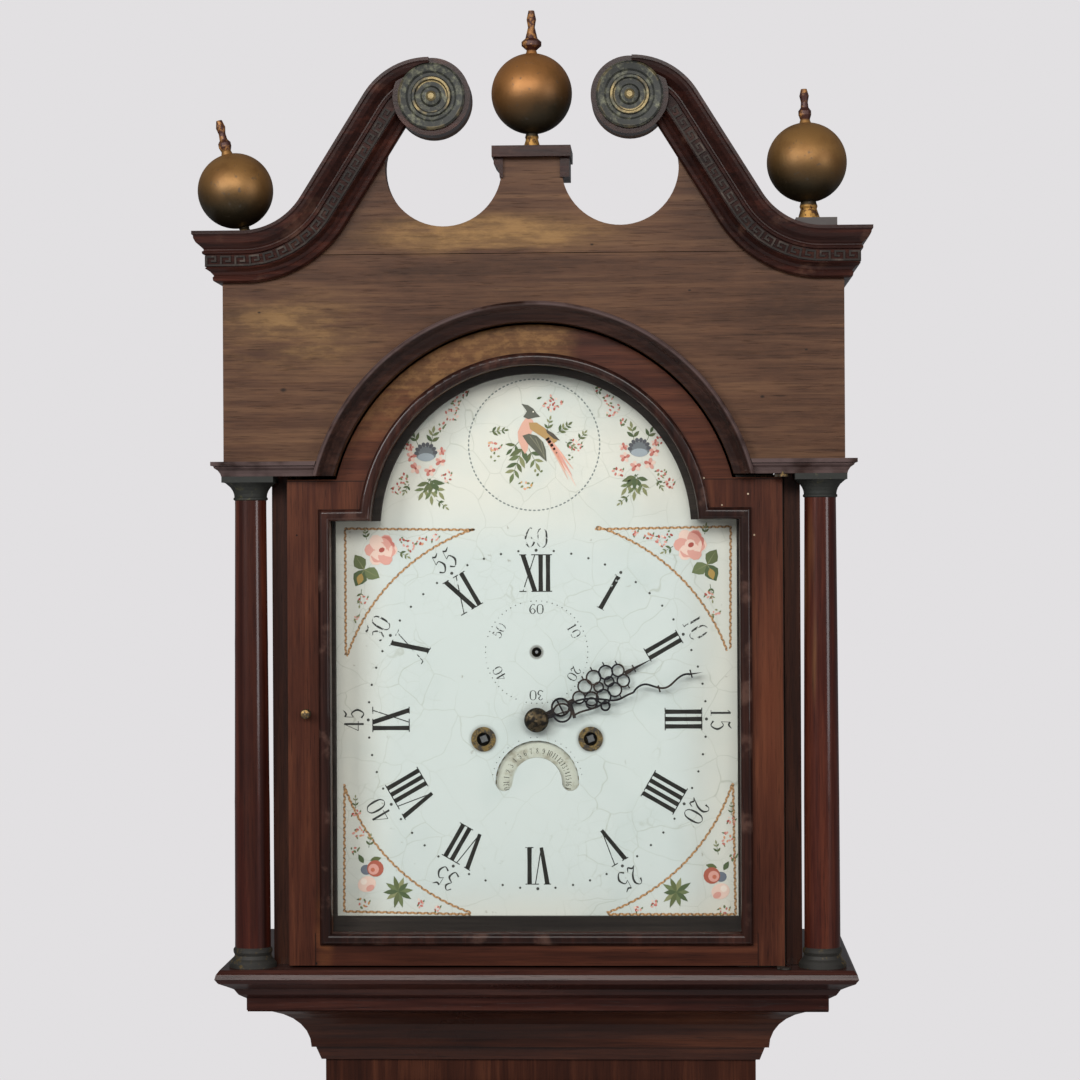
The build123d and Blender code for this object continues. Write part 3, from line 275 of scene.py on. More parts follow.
def polished_wood(name, dark, mid, pale, grain, rough=0.3, coat=0.1, offset=0.0):
    finish = Finish(name)
    colour, streaks, pore = wood_colour(finish, dark, mid, pale, grain, offset)
    smudge = finish.noise(11.0, 4.0, None, 0.6, offset + 3.0)
    finish.bump(streaks * 0.5 - pore * 0.5, 0.0002, 0.5)
    finish.shader.inputs["Coat Roughness"].default_value = 0.16
    return finish.set(Base_Color=colour, Roughness=rough + smudge * 0.16 - 0.08,
                      Coat_Weight=coat)


# Painted shade: these mahogany colours are darkened to stand in for the shade on the trunk; all the
# mahogany boards and mouldings use them.
SHADE_DARKENED_MAHOGANY = (tint(24, 11, 8), tint(48, 24, 16), tint(78, 44, 29))
OAK = (tint(70, 52, 34), tint(104, 80, 54), tint(132, 106, 74))
TRUNK_HALF = 0.1665
FRONT_EDGE_Y = -0.079


def board_finish(name, outer_x, offset=0.0):
    """An upright board, polished outside at the given half width, and bare inside."""
    finish = Finish(name)
    shown, streaks, pore = wood_colour(finish, *SHADE_DARKENED_MAHOGANY, "z", offset)
    bare, _, _ = wood_colour(finish, *OAK, "z", offset + 3.0)
    across = finish.maths("ABSOLUTE", finish.x)
    front_edge = 1.0 - finish.step(finish.y, FRONT_EDGE_Y - 0.0005, FRONT_EDGE_Y + 0.0005)
    polished = finish.clamp(finish.step(across, outer_x - 0.0012, outer_x - 0.0006) + front_edge)
    dust = finish.noise(24.0, 3.0, None, 0.6, 2.0)
    finish.bump(streaks * 0.5 - pore * 0.5, 0.0002, 0.5)
    return finish.set(Base_Color=finish.mix(bare, shown, polished), Coat_Weight=polished * 0.3,
                      Roughness=0.84 - polished * 0.46 + dust * 0.1)


upright_mahogany = polished_wood("upright_mahogany", *SHADE_DARKENED_MAHOGANY, "z")
level_mahogany = polished_wood("level_mahogany", *SHADE_DARKENED_MAHOGANY, "x", offset=4.0)
bare_board = polished_wood("bare_board", *OAK, "x", 0.75, 0.0)

dress(board_finish("trunk_boards", TRUNK_HALF), "trunk_carcass")
dress(bare_board, "seatboard")
dress(upright_mahogany, "trunk_front_frame", "trunk_door", "base_box")
dress(level_mahogany, "case_mouldings")


# Hood carcass, its moulded base, the arch moulding and the mask behind the door.
# The hood's side boards are polished outside only. The hollow of the arch moulding holds
# old dark polish, and its outer edge has a painted highlight in patches. The mask is very dark.

HOOD_HALF = 0.201
dress(board_finish("hood_boards", HOOD_HALF, 6.0), "hood_carcass")
base_wood = polished_wood("hood_base_wood", tint(20, 9, 8), tint(42, 20, 16), tint(70, 40, 32),
                          "x", 0.30, 0.12, 7.0)
dress(base_wood, "hood_base_frame")

finish = Finish("arch_wood")
colour, streaks, pore = wood_colour(finish, tint(14, 8, 7), tint(34, 20, 16), tint(62, 40, 32),
                                    "x", 9.0)
ARCH_Z = 1.83375
above = finish.step(finish.z, ARCH_Z, ARCH_Z + 0.01)
edge = finish.step(finish.reach((0.0, ARCH_Z)), 0.1672, 0.1690) * above
wear_and_sheen = finish.noise(26.0, 3.0, None, 0.6, 4.0)
# Painted highlight: a pale grey-brown laid in patches along the outer edge of the arch moulding.
colour = finish.mix(colour, tint(92, 76, 74), edge * finish.step(wear_and_sheen, 0.36, 0.58) * 0.6)
finish.bump(streaks * 0.5 - pore * 0.5, 0.0002, 0.4)
dress(finish.set(Base_Color=colour, Roughness=0.28 + wear_and_sheen * 0.12, Coat_Weight=0.1),
      "arch_moulding")

# Mask: very dark grey-brown wood all over.
finish = Finish("mask_wood")
colour, streaks, pore = wood_colour(finish, tint(24, 20, 18), tint(42, 36, 32), tint(60, 52, 46),
                                    "x", 11.0)
finish.bump(streaks, 0.0002, 0.5)
dress(finish.set(Base_Color=colour, Roughness=0.7 + pore * 0.1), "dial_mask")


# Frieze boards.
# Two thin boards, brown and faded to olive tan where the polish has gone, at the left and
# between the horns, with a few knots and wormholes.

finish = Finish("frieze_wood")
colour, streaks, pore = wood_colour(finish, tint(34, 20, 13), tint(68, 45, 32),
                                    tint(102, 74, 52), "x", 2.0)
blotch = finish.noise(9.0, 5.0, (1, 6, 6), 0.62, 5.0)
fleck = finish.step(finish.noise(110.0, 4.0, (0.35, 1, 1), 0.68, 14.0), 0.40, 0.66)
faded = finish.spot((-0.178, 1.985), (0.085, 0.045), 0.9) * finish.step(blotch, 0.36, 0.62)
between = finish.spot((-0.035, 2.056), (0.125, 0.021), 0.7) * finish.step(blotch, 0.30, 0.5)
ridge = finish.spot((0.02, 1.955), (0.20, 0.10), 0.8) * finish.step(blotch, 0.44, 0.7)
colour = finish.mix(colour, tint(118, 90, 56), faded * (streaks * 0.7 + fleck * 0.6))
colour = finish.mix(colour, tint(134, 102, 62), between * (streaks * 0.9 + fleck * 0.42))
colour = finish.mix(colour, tint(108, 74, 50), ridge * 0.45 + fleck * 0.12)
outer = finish.step(finish.maths("ABSOLUTE", finish.x), 0.1, 0.16)
shade = finish.step(finish.z, 2.035, 2.062) * outer
colour = finish.mix(colour, tint(40, 26, 20), shade * 0.6)
KNOTS = (((-0.188, 1.9395), 0.0022), ((0.172, 1.932), 0.0015), ((-0.206, 1.998), 0.0012),
         ((0.118, 2.012), 0.0011), ((0.045, 2.047), 0.0012), ((0.205, 1.967), 0.0011))
for centre, size in KNOTS:
    knot = finish.spot(centre, (size * 1.6, size), 0.8)
    colour = finish.mix(colour, tint(20, 14, 11), knot * 0.85)
scratch = finish.noise(60.0, 2.0, (1, 30, 30), 0.5, 8.0)
finish.bump(streaks * 0.6 - pore * 0.6, 0.0003, 0.6)
finish.shader.inputs["Coat Roughness"].default_value = 0.3
dress(finish.set(Base_Color=colour, Roughness=0.40 + scratch * 0.14, Coat_Weight=0.06),
      "frieze_boards")


# Swan-neck mouldings and the cap of the pedestal.
# Dark polished mahogany, almost black in the hollows, rubbed to brown in patches.

finish = Finish("cornice_wood")
colour, streaks, pore = wood_colour(finish, tint(16, 8, 7), tint(38, 18, 14), tint(70, 36, 27),
                                    "x", 13.0)
wear = finish.noise(38.0, 4.0, None, 0.65, 3.0)
wear_and_sheen = finish.step(wear, 0.56, 0.74)
colour = finish.mix(colour, tint(84, 58, 46), wear_and_sheen * 0.5)
finish.bump(streaks * 0.5 - pore * 0.5, 0.0002, 0.4)
finish.shader.inputs["Coat Roughness"].default_value = 0.2
dress(finish.set(Base_Color=colour, Roughness=0.24 + wear * 0.16, Coat_Weight=0.14),
      "swan_neck_right", "swan_neck_left", "pedestal_cap")


# Fret of the cornice.
# A raised running key that follows the flat band of each swan neck from its outer corner
# to the horn, and goes back along the sides. Lines 1.4 wide, standing out 1.1.

KEY_PITCH = 10.4
KEY_LINE = 1.4
KEY_HALF = 3.9
KEY_SINK, KEY_FRONT = 0.0, 1.5


def solid_piece(name, points, faces, material, body, smooth=False):
    """A closed mesh with its faces turned outwards, riding on a body."""
    mesh = bpy.data.meshes.new(name)
    mesh.from_pydata(points, [], faces)
    mesh.validate()
    piece = bpy.data.objects.new(name, mesh)
    scene.collection.objects.link(piece)
    bpy.ops.object.select_all(action="DESELECT")
    piece.select_set(True)
    bpy.context.view_layer.objects.active = piece
    bpy.ops.object.mode_set(mode="EDIT")
    bpy.ops.mesh.select_all(action="SELECT")
    bpy.ops.mesh.normals_make_consistent(inside=False)
    bpy.ops.object.mode_set(mode="OBJECT")
    if smooth:
        bpy.ops.object.shade_smooth()
    piece.data.materials.append(material)
    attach(piece, body)


def fret(name, place, length, material):
    """One key after another; place turns a distance, height and depth to a point in mm."""
    points, faces = [], []

    def bar(start, end, low, high):
        first = len(points)
        for depth in (KEY_SINK, KEY_FRONT):
            for s, h in ((start, low), (end, low), (end, high), (start, high)):
                points.append([value / 1000 for value in place(s, h, depth)])
        a, b, c, d, e, f, g, h = range(first, first + 8)
        faces.extend([(e, f, g, h), (a, d, c, b), (a, b, f, e), (b, c, g, f), (c, d, h, g),
                      (d, a, e, h)])

    count = int(length / KEY_PITCH)
    step = length / count
    hook, barb, tongue = step * 0.74, step * 0.36, -0.9
    for unit in range(count):
        s = unit * step
        bar(s, s + step, -KEY_HALF, -KEY_HALF + KEY_LINE)
        bar(s, s + KEY_LINE, -KEY_HALF + KEY_LINE, KEY_HALF - KEY_LINE)
        bar(s, s + hook, KEY_HALF - KEY_LINE, KEY_HALF)
        bar(s + hook - KEY_LINE, s + hook, tongue + KEY_LINE, KEY_HALF - KEY_LINE)
        bar(s + barb, s + hook, tongue, tongue + KEY_LINE)
    solid_piece(name, points, faces, material, "hood")


def along_neck(side):
    """The flat band's line on one swan neck: level, lower arc, slope and upper arc."""
    slope = math.radians(58)
    depth, lower_r, upper_r = 21.9, 52.5, 57.6
    corner_x, foot_x, foot_z, top_z = 244.6, 216.7, 2058.0, 2186.0
    back_y = -121.1
    rise = top_z - foot_z - (lower_r + upper_r) * (1 - math.cos(slope))
    run = rise / math.sin(slope)
    lower = (foot_x - lower_r * math.sin(slope), foot_z + lower_r * (1 - math.cos(slope)))
    upper = (lower[0] - run * math.cos(slope), lower[1] + run * math.sin(slope))
    upper_middle = (upper[0] - upper_r * math.sin(slope), top_z - upper_r)
    level = corner_x - foot_x
    first_arc = (lower_r + depth) * slope
    last_arc = (upper_r - depth) * math.radians(5)

    def place(s, height, out):
        y = back_y - out
        if s < level:
            x, z = foot_x + level - s, foot_z - depth + height
        elif s < level + first_arc:
            turn = (s - level) / (lower_r + depth)
            reach = lower_r + depth - height
            x = foot_x - reach * math.sin(turn)
            z = foot_z + lower_r - reach * math.cos(turn)
        elif s < level + first_arc + run:
            ahead = s - level - first_arc
            x = lower[0] - ahead * math.cos(slope) - (depth - height) * math.sin(slope)
            z = lower[1] + ahead * math.sin(slope) - (depth - height) * math.cos(slope)
        else:
            turn = slope - (s - level - first_arc - run) / (upper_r - depth)
            reach = upper_r - depth + height
            x = upper_middle[0] + reach * math.sin(turn)
            z = upper_middle[1] + reach * math.cos(turn)
        return (side * x, y, z)

    return place, level + first_arc + run + last_arc


finish = Finish("fret_wood")
colour, _, _ = wood_colour(finish, tint(16, 13, 12), tint(34, 29, 26), tint(62, 52, 46),
                           "x", 17.0)
wear = finish.noise(70.0, 4.0, None, 0.6, 5.0)
colour = finish.mix(colour, tint(88, 76, 68), finish.step(wear, 0.52, 0.72) * 0.6)
finish.bump(wear, 0.0002, 0.4)
fret_wood = finish.set(Base_Color=colour, Roughness=0.34 + wear * 0.2, Coat_Weight=0.04)
SIDE_X, SIDE_Y, SIDE_Z, SIDE_LENGTH = 244.2, -119.0, 2036.1, 246.0
for side, word in ((1, "right"), (-1, "left")):
    place, length = along_neck(side)
    fret("fret_front_" + word, place, length, fret_wood)
    fret("fret_side_" + word,
         lambda s, h, out, side=side: (side * (SIDE_X + out), SIDE_Y + s, SIDE_Z + h),
         SIDE_LENGTH, fret_wood)


# Roundels of the swan necks.
# Turned brass bosses: a mottled green-black rim, a rubbed ring, a dark hollow and a small
# bright boss in the middle.

finish = Finish("roundel_brass")
ROUNDEL_X, ROUNDEL_Z = 0.074, 2.157
across = finish.maths("ABSOLUTE", finish.x) - ROUNDEL_X
up = finish.z - ROUNDEL_Z
reach = finish.maths("SQRT", across * across + up * up)
mottle = finish.noise(190.0, 5.0, None, 0.7, 2.0)
patch = finish.noise(60.0, 3.0, None, 0.6, 7.0)
dark = finish.mix(tint(30, 31, 27), tint(92, 92, 74), finish.step(mottle, 0.46, 0.72))
ring = finish.step(reach, 0.0105, 0.0115) * (1.0 - finish.step(reach, 0.0140, 0.0150))
boss = 1.0 - finish.step(reach, 0.0030, 0.0042)
lip = finish.step(reach, 0.0225, 0.0232)
wear_and_sheen = finish.clamp(ring * finish.step(patch, 0.40, 0.58) + boss
                      + lip * finish.step(patch, 0.5, 0.65) * 0.5)
colour = finish.mix(dark, tint(138, 120, 80), wear_and_sheen * 0.6)
finish.bump(mottle, 0.0004, 0.6)
dress(finish.set(Base_Color=colour, Metallic=0.25 + wear_and_sheen * 0.4, Roughness=0.58 - wear_and_sheen * 0.16),
      "roundels")


# Finials.
# Gilt balls gone dull: matte gold above, and underneath a painted shade and dark reflection
# from brown to green-black, on rubbed stems.
# The spires are broken cups of dark red brown with a glint of old gilding.

def gilt_finish(name, ball_x, ball_z, ball_r, lean, pale, block_top):
    """Gilding on a ball, its spire and its foot, with a wooden block under block_top.
    The ball is painted lit above and shaded below, the line between tilted by lean.
    """
    finish = Finish(name)
    across = (finish.x - ball_x) / ball_r
    up = (finish.z - ball_z) / ball_r
    height = up + across * lean
    cloud = finish.noise(34.0, 5.0, None, 0.62, ball_z)
    grain = finish.noise(240.0, 3.0, None, 0.6, ball_z + 2)
    # Painted light: gold where the ball is lit from above, and dark brown beneath as painted shade
    # and reflection.
    light = finish.step(height + cloud * 0.9 - 0.45, -0.75, 0.6)
    gold = finish.mix(pale, tint(108, 74, 38), finish.step(cloud, 0.42, 0.66) * 0.7)
    colour = finish.mix(tint(46, 38, 24), gold, light)
    speck = finish.step(grain, 0.60, 0.72)
    colour = finish.mix(colour, tint(40, 32, 22), speck * 0.55)
    spire = finish.step(up, 1.02, 1.10)
    foot = 1.0 - finish.step(up, -1.12, -1.04)
    glint = finish.step(cloud * 0.5 + grain * 0.5, 0.50, 0.60)
    cup = finish.mix(tint(58, 28, 20), tint(150, 104, 56), glint)
    colour = finish.mix(colour, cup, spire)
    stem = finish.mix(tint(168, 126, 66), tint(70, 44, 26), finish.step(grain, 0.5, 0.62))
    colour = finish.mix(colour, stem, foot)
    finish.bump(grain * 0.5 + cloud * 0.5, 0.0004, 0.5)
    wood = 1.0 - finish.step(finish.z, block_top - 0.0001, block_top + 0.0001)
    colour = finish.mix(colour, finish.mix(tint(20, 12, 10), tint(44, 28, 22), cloud), wood)
    return finish.set(Base_Color=colour, Roughness=0.40 + cloud * 0.16,
                      Metallic=finish.clamp(0.72 - speck * 0.4 - spire * 0.35 - wood))


for word, ball_x, ball_z, ball_r, lean, pale, block_top in (
        ("centre", 0.0, 2.1619, 0.0304, -0.25, tint(156, 106, 58), 0.0),
        ("left", -0.2253, 2.0914, 0.0285, 0.1, tint(146, 106, 60), 0.0),
        ("right", 0.2066, 2.108, 0.030, 0.1, tint(150, 110, 62), 2.0655)):
    dress(gilt_finish("gilt_" + word, ball_x, ball_z, ball_r, lean, pale, block_top),
          "finial_" + word)


# Columns, their capitals and their bases.
# The shafts are the reddest wood of the hood, glossy, with pale streaks. The capitals are
# almost black, and the bases show specks of brass through their dirt.

finish = Finish("column_wood")
colour, streaks, pore = wood_colour(finish, tint(26, 9, 7), tint(54, 21, 14), tint(88, 44, 29),
                                    "z", 21.0)
line = finish.noise(30.0, 3.0, (1, 1, 0.06), 0.5, 6.0)
colour = finish.mix(colour, tint(136, 100, 60), finish.step(line, 0.60, 0.70) * 0.5)
dark_line = finish.noise(44.0, 2.0, (1, 1, 0.04), 0.5, 9.0)
colour = finish.mix(colour, tint(24, 10, 8), finish.step(dark_line, 0.58, 0.66) * 0.6)
finish.bump(streaks - pore * 0.4, 0.0002, 0.4)
finish.shader.inputs["Coat Roughness"].default_value = 0.12
dress(finish.set(Base_Color=colour, Roughness=0.26 + streaks * 0.1, Coat_Weight=0.5),
      "hood_columns")


def worn_metal(name, metal, dirt, bare, scale, rough, offset=0.0):
    """Metal that shows on a share of its surface, from 0 to 1, among its dirt."""
    finish = Finish(name)
    cloud = finish.noise(scale, 5.0, None, 0.62, offset)
    fine = finish.noise(scale * 6, 3.0, None, 0.6, offset + 2.0)
    cover = finish.step(cloud * 0.7 + fine * 0.3, bare * 0.4 + 0.26, bare * 0.4 + 0.40)
    colour = finish.mix(finish.mix(metal, dirt, fine * 0.5), dirt, cover)
    finish.bump(fine, 0.0002, 0.5)
    return finish.set(Base_Color=colour, Metallic=0.95 - cover * 0.6,
                      Roughness=rough + cover * 0.25 + fine * 0.1)


dress(worn_metal("capital_black", tint(92, 88, 64), tint(28, 29, 25), 0.1, 60.0, 0.4),
      "column_capitals")
dress(worn_metal("base_brass", tint(122, 102, 64), tint(36, 34, 30), 0.2, 60.0, 0.34, 3.0),
      "column_bases")


# Hood door.
# Upright stiles, an arched head and a rail with level grain, dark at the joints, the head
# rubbed to ochre, nail holes filled, and thin old glass that mirrors only at a slant.

finish = Finish("hood_door_wood")
DOOR_WOOD = (tint(28, 12, 8), tint(60, 30, 20), tint(94, 54, 35))
upright, streaks, _ = wood_colour(finish, *DOOR_WOOD, "z", 25.0)
level, level_streaks, _ = wood_colour(finish, *DOOR_WOOD, "x", 29.0)
HEAD_JOINT_Z, RAIL_JOINT_Z, STILE_JOINT_X = 1.8707, 1.5290, 0.1670
side_x = finish.maths("ABSOLUTE", finish.x)
head = finish.step(finish.z, HEAD_JOINT_Z - 0.0005, HEAD_JOINT_Z + 0.0005)
below = 1.0 - finish.step(finish.z, RAIL_JOINT_Z - 0.0005, RAIL_JOINT_Z + 0.0005)
rail = below * (1.0 - finish.step(side_x, STILE_JOINT_X - 0.0005, STILE_JOINT_X + 0.0005))
crosswise = finish.clamp(head + rail)
colour = finish.mix(upright, level, crosswise)
blotch = finish.noise(12.0, 5.0, (1, 2.5, 2.5), 0.6, 12.0)
right_end = 1.0 - finish.step(finish.x + blotch * 0.02, 0.025, 0.050)
worn = finish.step(finish.z, 1.880, 1.945) * right_end * finish.step(blotch, 0.34, 0.54)
fleck = finish.step(finish.noise(150.0, 4.0, (0.6, 1, 1), 0.68, 18.0), 0.42, 0.62)
colour = finish.mix(colour, tint(116, 84, 50), worn * (level_streaks * 0.75 + fleck * 0.38))
low_wear = finish.spot((-0.160, 1.530), (0.010, 0.045), 0.8) * finish.step(blotch, 0.38, 0.6)
colour = finish.mix(colour, tint(112, 68, 38), low_wear * 0.4)
wear_and_sheen = finish.spot((0.176, 1.70), (0.014, 0.13), 0.9)
colour = finish.mix(colour, tint(94, 50, 32), wear_and_sheen * 0.4)


def joint_line(finish, value, place):
    """A dark line where a value passes a place, a millimetre wide with its soft edges."""
    before = finish.step(value, place - 0.0006, place - 0.0002)
    return before * (1.0 - finish.step(value, place + 0.0002, place + 0.0006))


seam = joint_line(finish, finish.z, HEAD_JOINT_Z)
foot_seam = joint_line(finish, side_x, STILE_JOINT_X) * below
colour = finish.mix(colour, tint(14, 8, 6), finish.clamp(seam + foot_seam) * 0.8)
NAILS = (((-0.159, 1.8443), 0.0011, tint(176, 168, 158)),
         ((-0.1797, 1.830), 0.0009, tint(18, 12, 10)),
         ((0.1281, 1.8715), 0.0009, tint(168, 150, 128)),
         ((0.1416, 1.8511), 0.0008, tint(150, 132, 110)),
         ((0.1612, 1.8594), 0.0009, tint(166, 148, 126)),
         ((0.1657, 1.8285), 0.0009, tint(150, 130, 108)),
         ((-0.1665, 1.5061), 0.0011, tint(16, 11, 9)))
for centre, size, filled in NAILS:
    colour = finish.mix(colour, filled, finish.spot(centre, (size, size), 0.5))
finish.bump(finish.mix(streaks, level_streaks, crosswise) * 0.5, 0.0002, 0.5)
finish.shader.inputs["Coat Roughness"].default_value = 0.18
dress(finish.set(Base_Color=colour, Roughness=0.28 + blotch * 0.14, Coat_Weight=0.12),
      "hood_door_frame")

finish = Finish("bead_wood")
colour, streaks, _ = wood_colour(finish, tint(14, 8, 7), tint(34, 17, 13), tint(64, 36, 28),
                                 "z", 31.0)
wear = finish.noise(42.0, 4.0, None, 0.6, 8.0)
colour = finish.mix(colour, tint(96, 70, 60), finish.step(wear, 0.54, 0.7) * 0.4)
finish.bump(streaks * 0.5, 0.0002, 0.4)
dress(finish.set(Base_Color=colour, Roughness=0.28 + wear * 0.12, Coat_Weight=0.22),
      "hood_door_bead")

dress(worn_metal("door_brass", tint(120, 96, 58), tint(34, 28, 22), 0.3, 90.0, 0.36, 5.0),
      "hood_door_brass")

finish = Finish("old_glass")
surface = finish.tree.nodes["Material Output"].inputs["Surface"]
clear = finish.node("ShaderNodeBsdfTransparent", Color=(0.985, 0.992, 0.988, 1))
waves = finish.noise(7.0, 2.0, None, 0.5, 3.0)
ripple = finish.node("ShaderNodeBump", Height=waves, Distance=0.002, Strength=0.08)
mirror = finish.node("ShaderNodeBsdfGlossy", Color=(1, 1, 1, 1), Roughness=0.04, Normal=ripple)
glancing = finish.node("ShaderNodeLayerWeight", Blend=0.5).out("Facing")
smear = finish.noise(20.0, 4.0, None, 0.6, 1.0)
share = finish.clamp(0.015 + glancing ** 5 * (0.5 + smear * 0.3))
mixed = finish.node("ShaderNodeMixShader", Fac=share)
finish.tree.links.new(clear.socket, mixed.socket.node.inputs[1])
finish.tree.links.new(mirror.socket, mixed.socket.node.inputs[2])
finish.tree.links.new(mixed.socket, surface)
dress(finish.material, "hood_door_glass")


# Dial plate.
# Iron sheet under a pale blue-green white, creamier near the edges and in the arch, with fine
# cracks, a little dirt round the holes and bare dark metal behind.

CENTRE_Z = 1.6882
SECONDS_HOLE_Z = 1.7397
ARBOR_X, ARBOR_Z = 0.041, 1.6732
PAINT_Y = -0.06595

finish = Finish("dial_ground")
cloud = finish.noise(11.0, 4.0, None, 0.55, 1.0)
fine = finish.noise(130.0, 4.0, None, 0.6, 2.0)
pull = finish.noise(16.0, 3.0, None, 0.5, 6.0)
side = finish.maths("ABSOLUTE", finish.x)
edge = finish.step(side + cloud * 0.03, 0.118, 0.166)
arch = finish.step(finish.z + cloud * 0.03, 1.820, 1.885)
low = 1.0 - finish.step(finish.z + cloud * 0.02, 1.540, 1.575)
cream = finish.clamp(edge * 0.7 + arch * 0.75 + low * 0.6)
ground = finish.mix(tint(185, 191, 187), tint(204, 199, 186), cream)
ground = finish.mix(ground, tint(172, 181, 177), finish.step(cloud, 0.48, 0.72) * 0.5)
warped = finish.node("ShaderNodeMix", {"data_type": "VECTOR"})
warp = warped.socket.node
finish.join(0.035, warp.inputs[0])
finish.join(finish.place, warp.inputs[4])
finish.join(pull.out("Color"), warp.inputs[5])
warped = Socket(finish, warp.outputs[1])
cracks, fine_cracks = (
    finish.node("ShaderNodeTexVoronoi", {"feature": "DISTANCE_TO_EDGE"}, Vector=warped, Scale=size)
    for size in (34.0, 82.0))
crack = (1.0 - finish.step(cracks, 0.0, 0.011)) * finish.step(cloud, 0.34, 0.52)
fine_crack = (1.0 - finish.step(fine_cracks, 0.0, 0.020)) * finish.step(pull, 0.50, 0.62) * 0.5
ground = finish.mix(ground, tint(148, 150, 134), finish.clamp(crack * 0.5 + fine_crack * 0.6))
speck = finish.step(fine, 0.70, 0.76)
ground = finish.mix(ground, tint(120, 112, 92), speck * 0.5)


def ring_of_dirt(centre, inner, outer):
    """1 round a hole of the dial, falling to 0 between two radii."""
    return 1.0 - finish.step(finish.reach(centre), inner, outer)


dirt = finish.clamp(ring_of_dirt((0, SECONDS_HOLE_Z), 0.0045, 0.0062)
                    + ring_of_dirt((ARBOR_X, ARBOR_Z), 0.0095, 0.0125) * 0.5
                    + ring_of_dirt((-ARBOR_X, ARBOR_Z), 0.0095, 0.0125) * 0.5
                    + ring_of_dirt((0, CENTRE_Z), 0.0100, 0.0160) * 0.35)
ground = finish.mix(ground, tint(70, 62, 50), dirt * 0.7)
painted = 1.0 - finish.step(finish.y, PAINT_Y, PAINT_Y + 0.00005)
iron = finish.mix(tint(52, 48, 46), tint(96, 70, 52), finish.step(fine, 0.5, 0.7))
finish.bump((1.0 - crack) * 0.6 + fine * 0.4, 0.0001, 0.35)
dress(finish.set(Base_Color=finish.mix(iron, ground, painted),
                 Roughness=0.62 - painted * 0.24 + fine * 0.06), "dial_plate")

dress(worn_metal("grommet_brass", tint(142, 118, 72), tint(40, 34, 26), 0.4, 120.0, 0.34, 7.0),
      "dial_grommets")

finish = Finish("disc_paint")
fine = finish.noise(150.0, 4.0, None, 0.6, 4.0)
cloud = finish.noise(30.0, 3.0, None, 0.6, 5.0)
soiled = finish.step(cloud * 0.5 + fine * 0.5, 0.48, 0.66)
paper = finish.mix(tint(176, 178, 164), tint(140, 136, 118), soiled)
facing = 1.0 - finish.step(finish.y, -0.0623, -0.0622)
dress(finish.set(Base_Color=finish.mix(tint(120, 92, 50), paper, facing),
                 Roughness=0.55 + fine * 0.1, Metallic=0.8 - facing * 0.8), "date_disc")


# Lettering and numbers of the dial.
# Roman hours with their feet inward, minute dots, the fifth minutes that are still legible,
# a seconds ring and the days on the disc, in thin flat strokes that keep their wear as alpha.

def turned(origin, degrees, along, across=0.0):
    """The point along and across a direction that starts at an origin."""
    bend = math.radians(degrees)
    return (origin[0] + along * math.cos(bend) - across * math.sin(bend),
            origin[1] + along * math.sin(bend) + across * math.cos(bend))


def on_ring(degrees, radius, middle=0.0):
    """A point on a ring, clockwise from its top; middle is the height of the ring's centre."""
    angle = math.radians(degrees)
    return (radius * math.sin(angle), middle + radius * math.cos(angle))


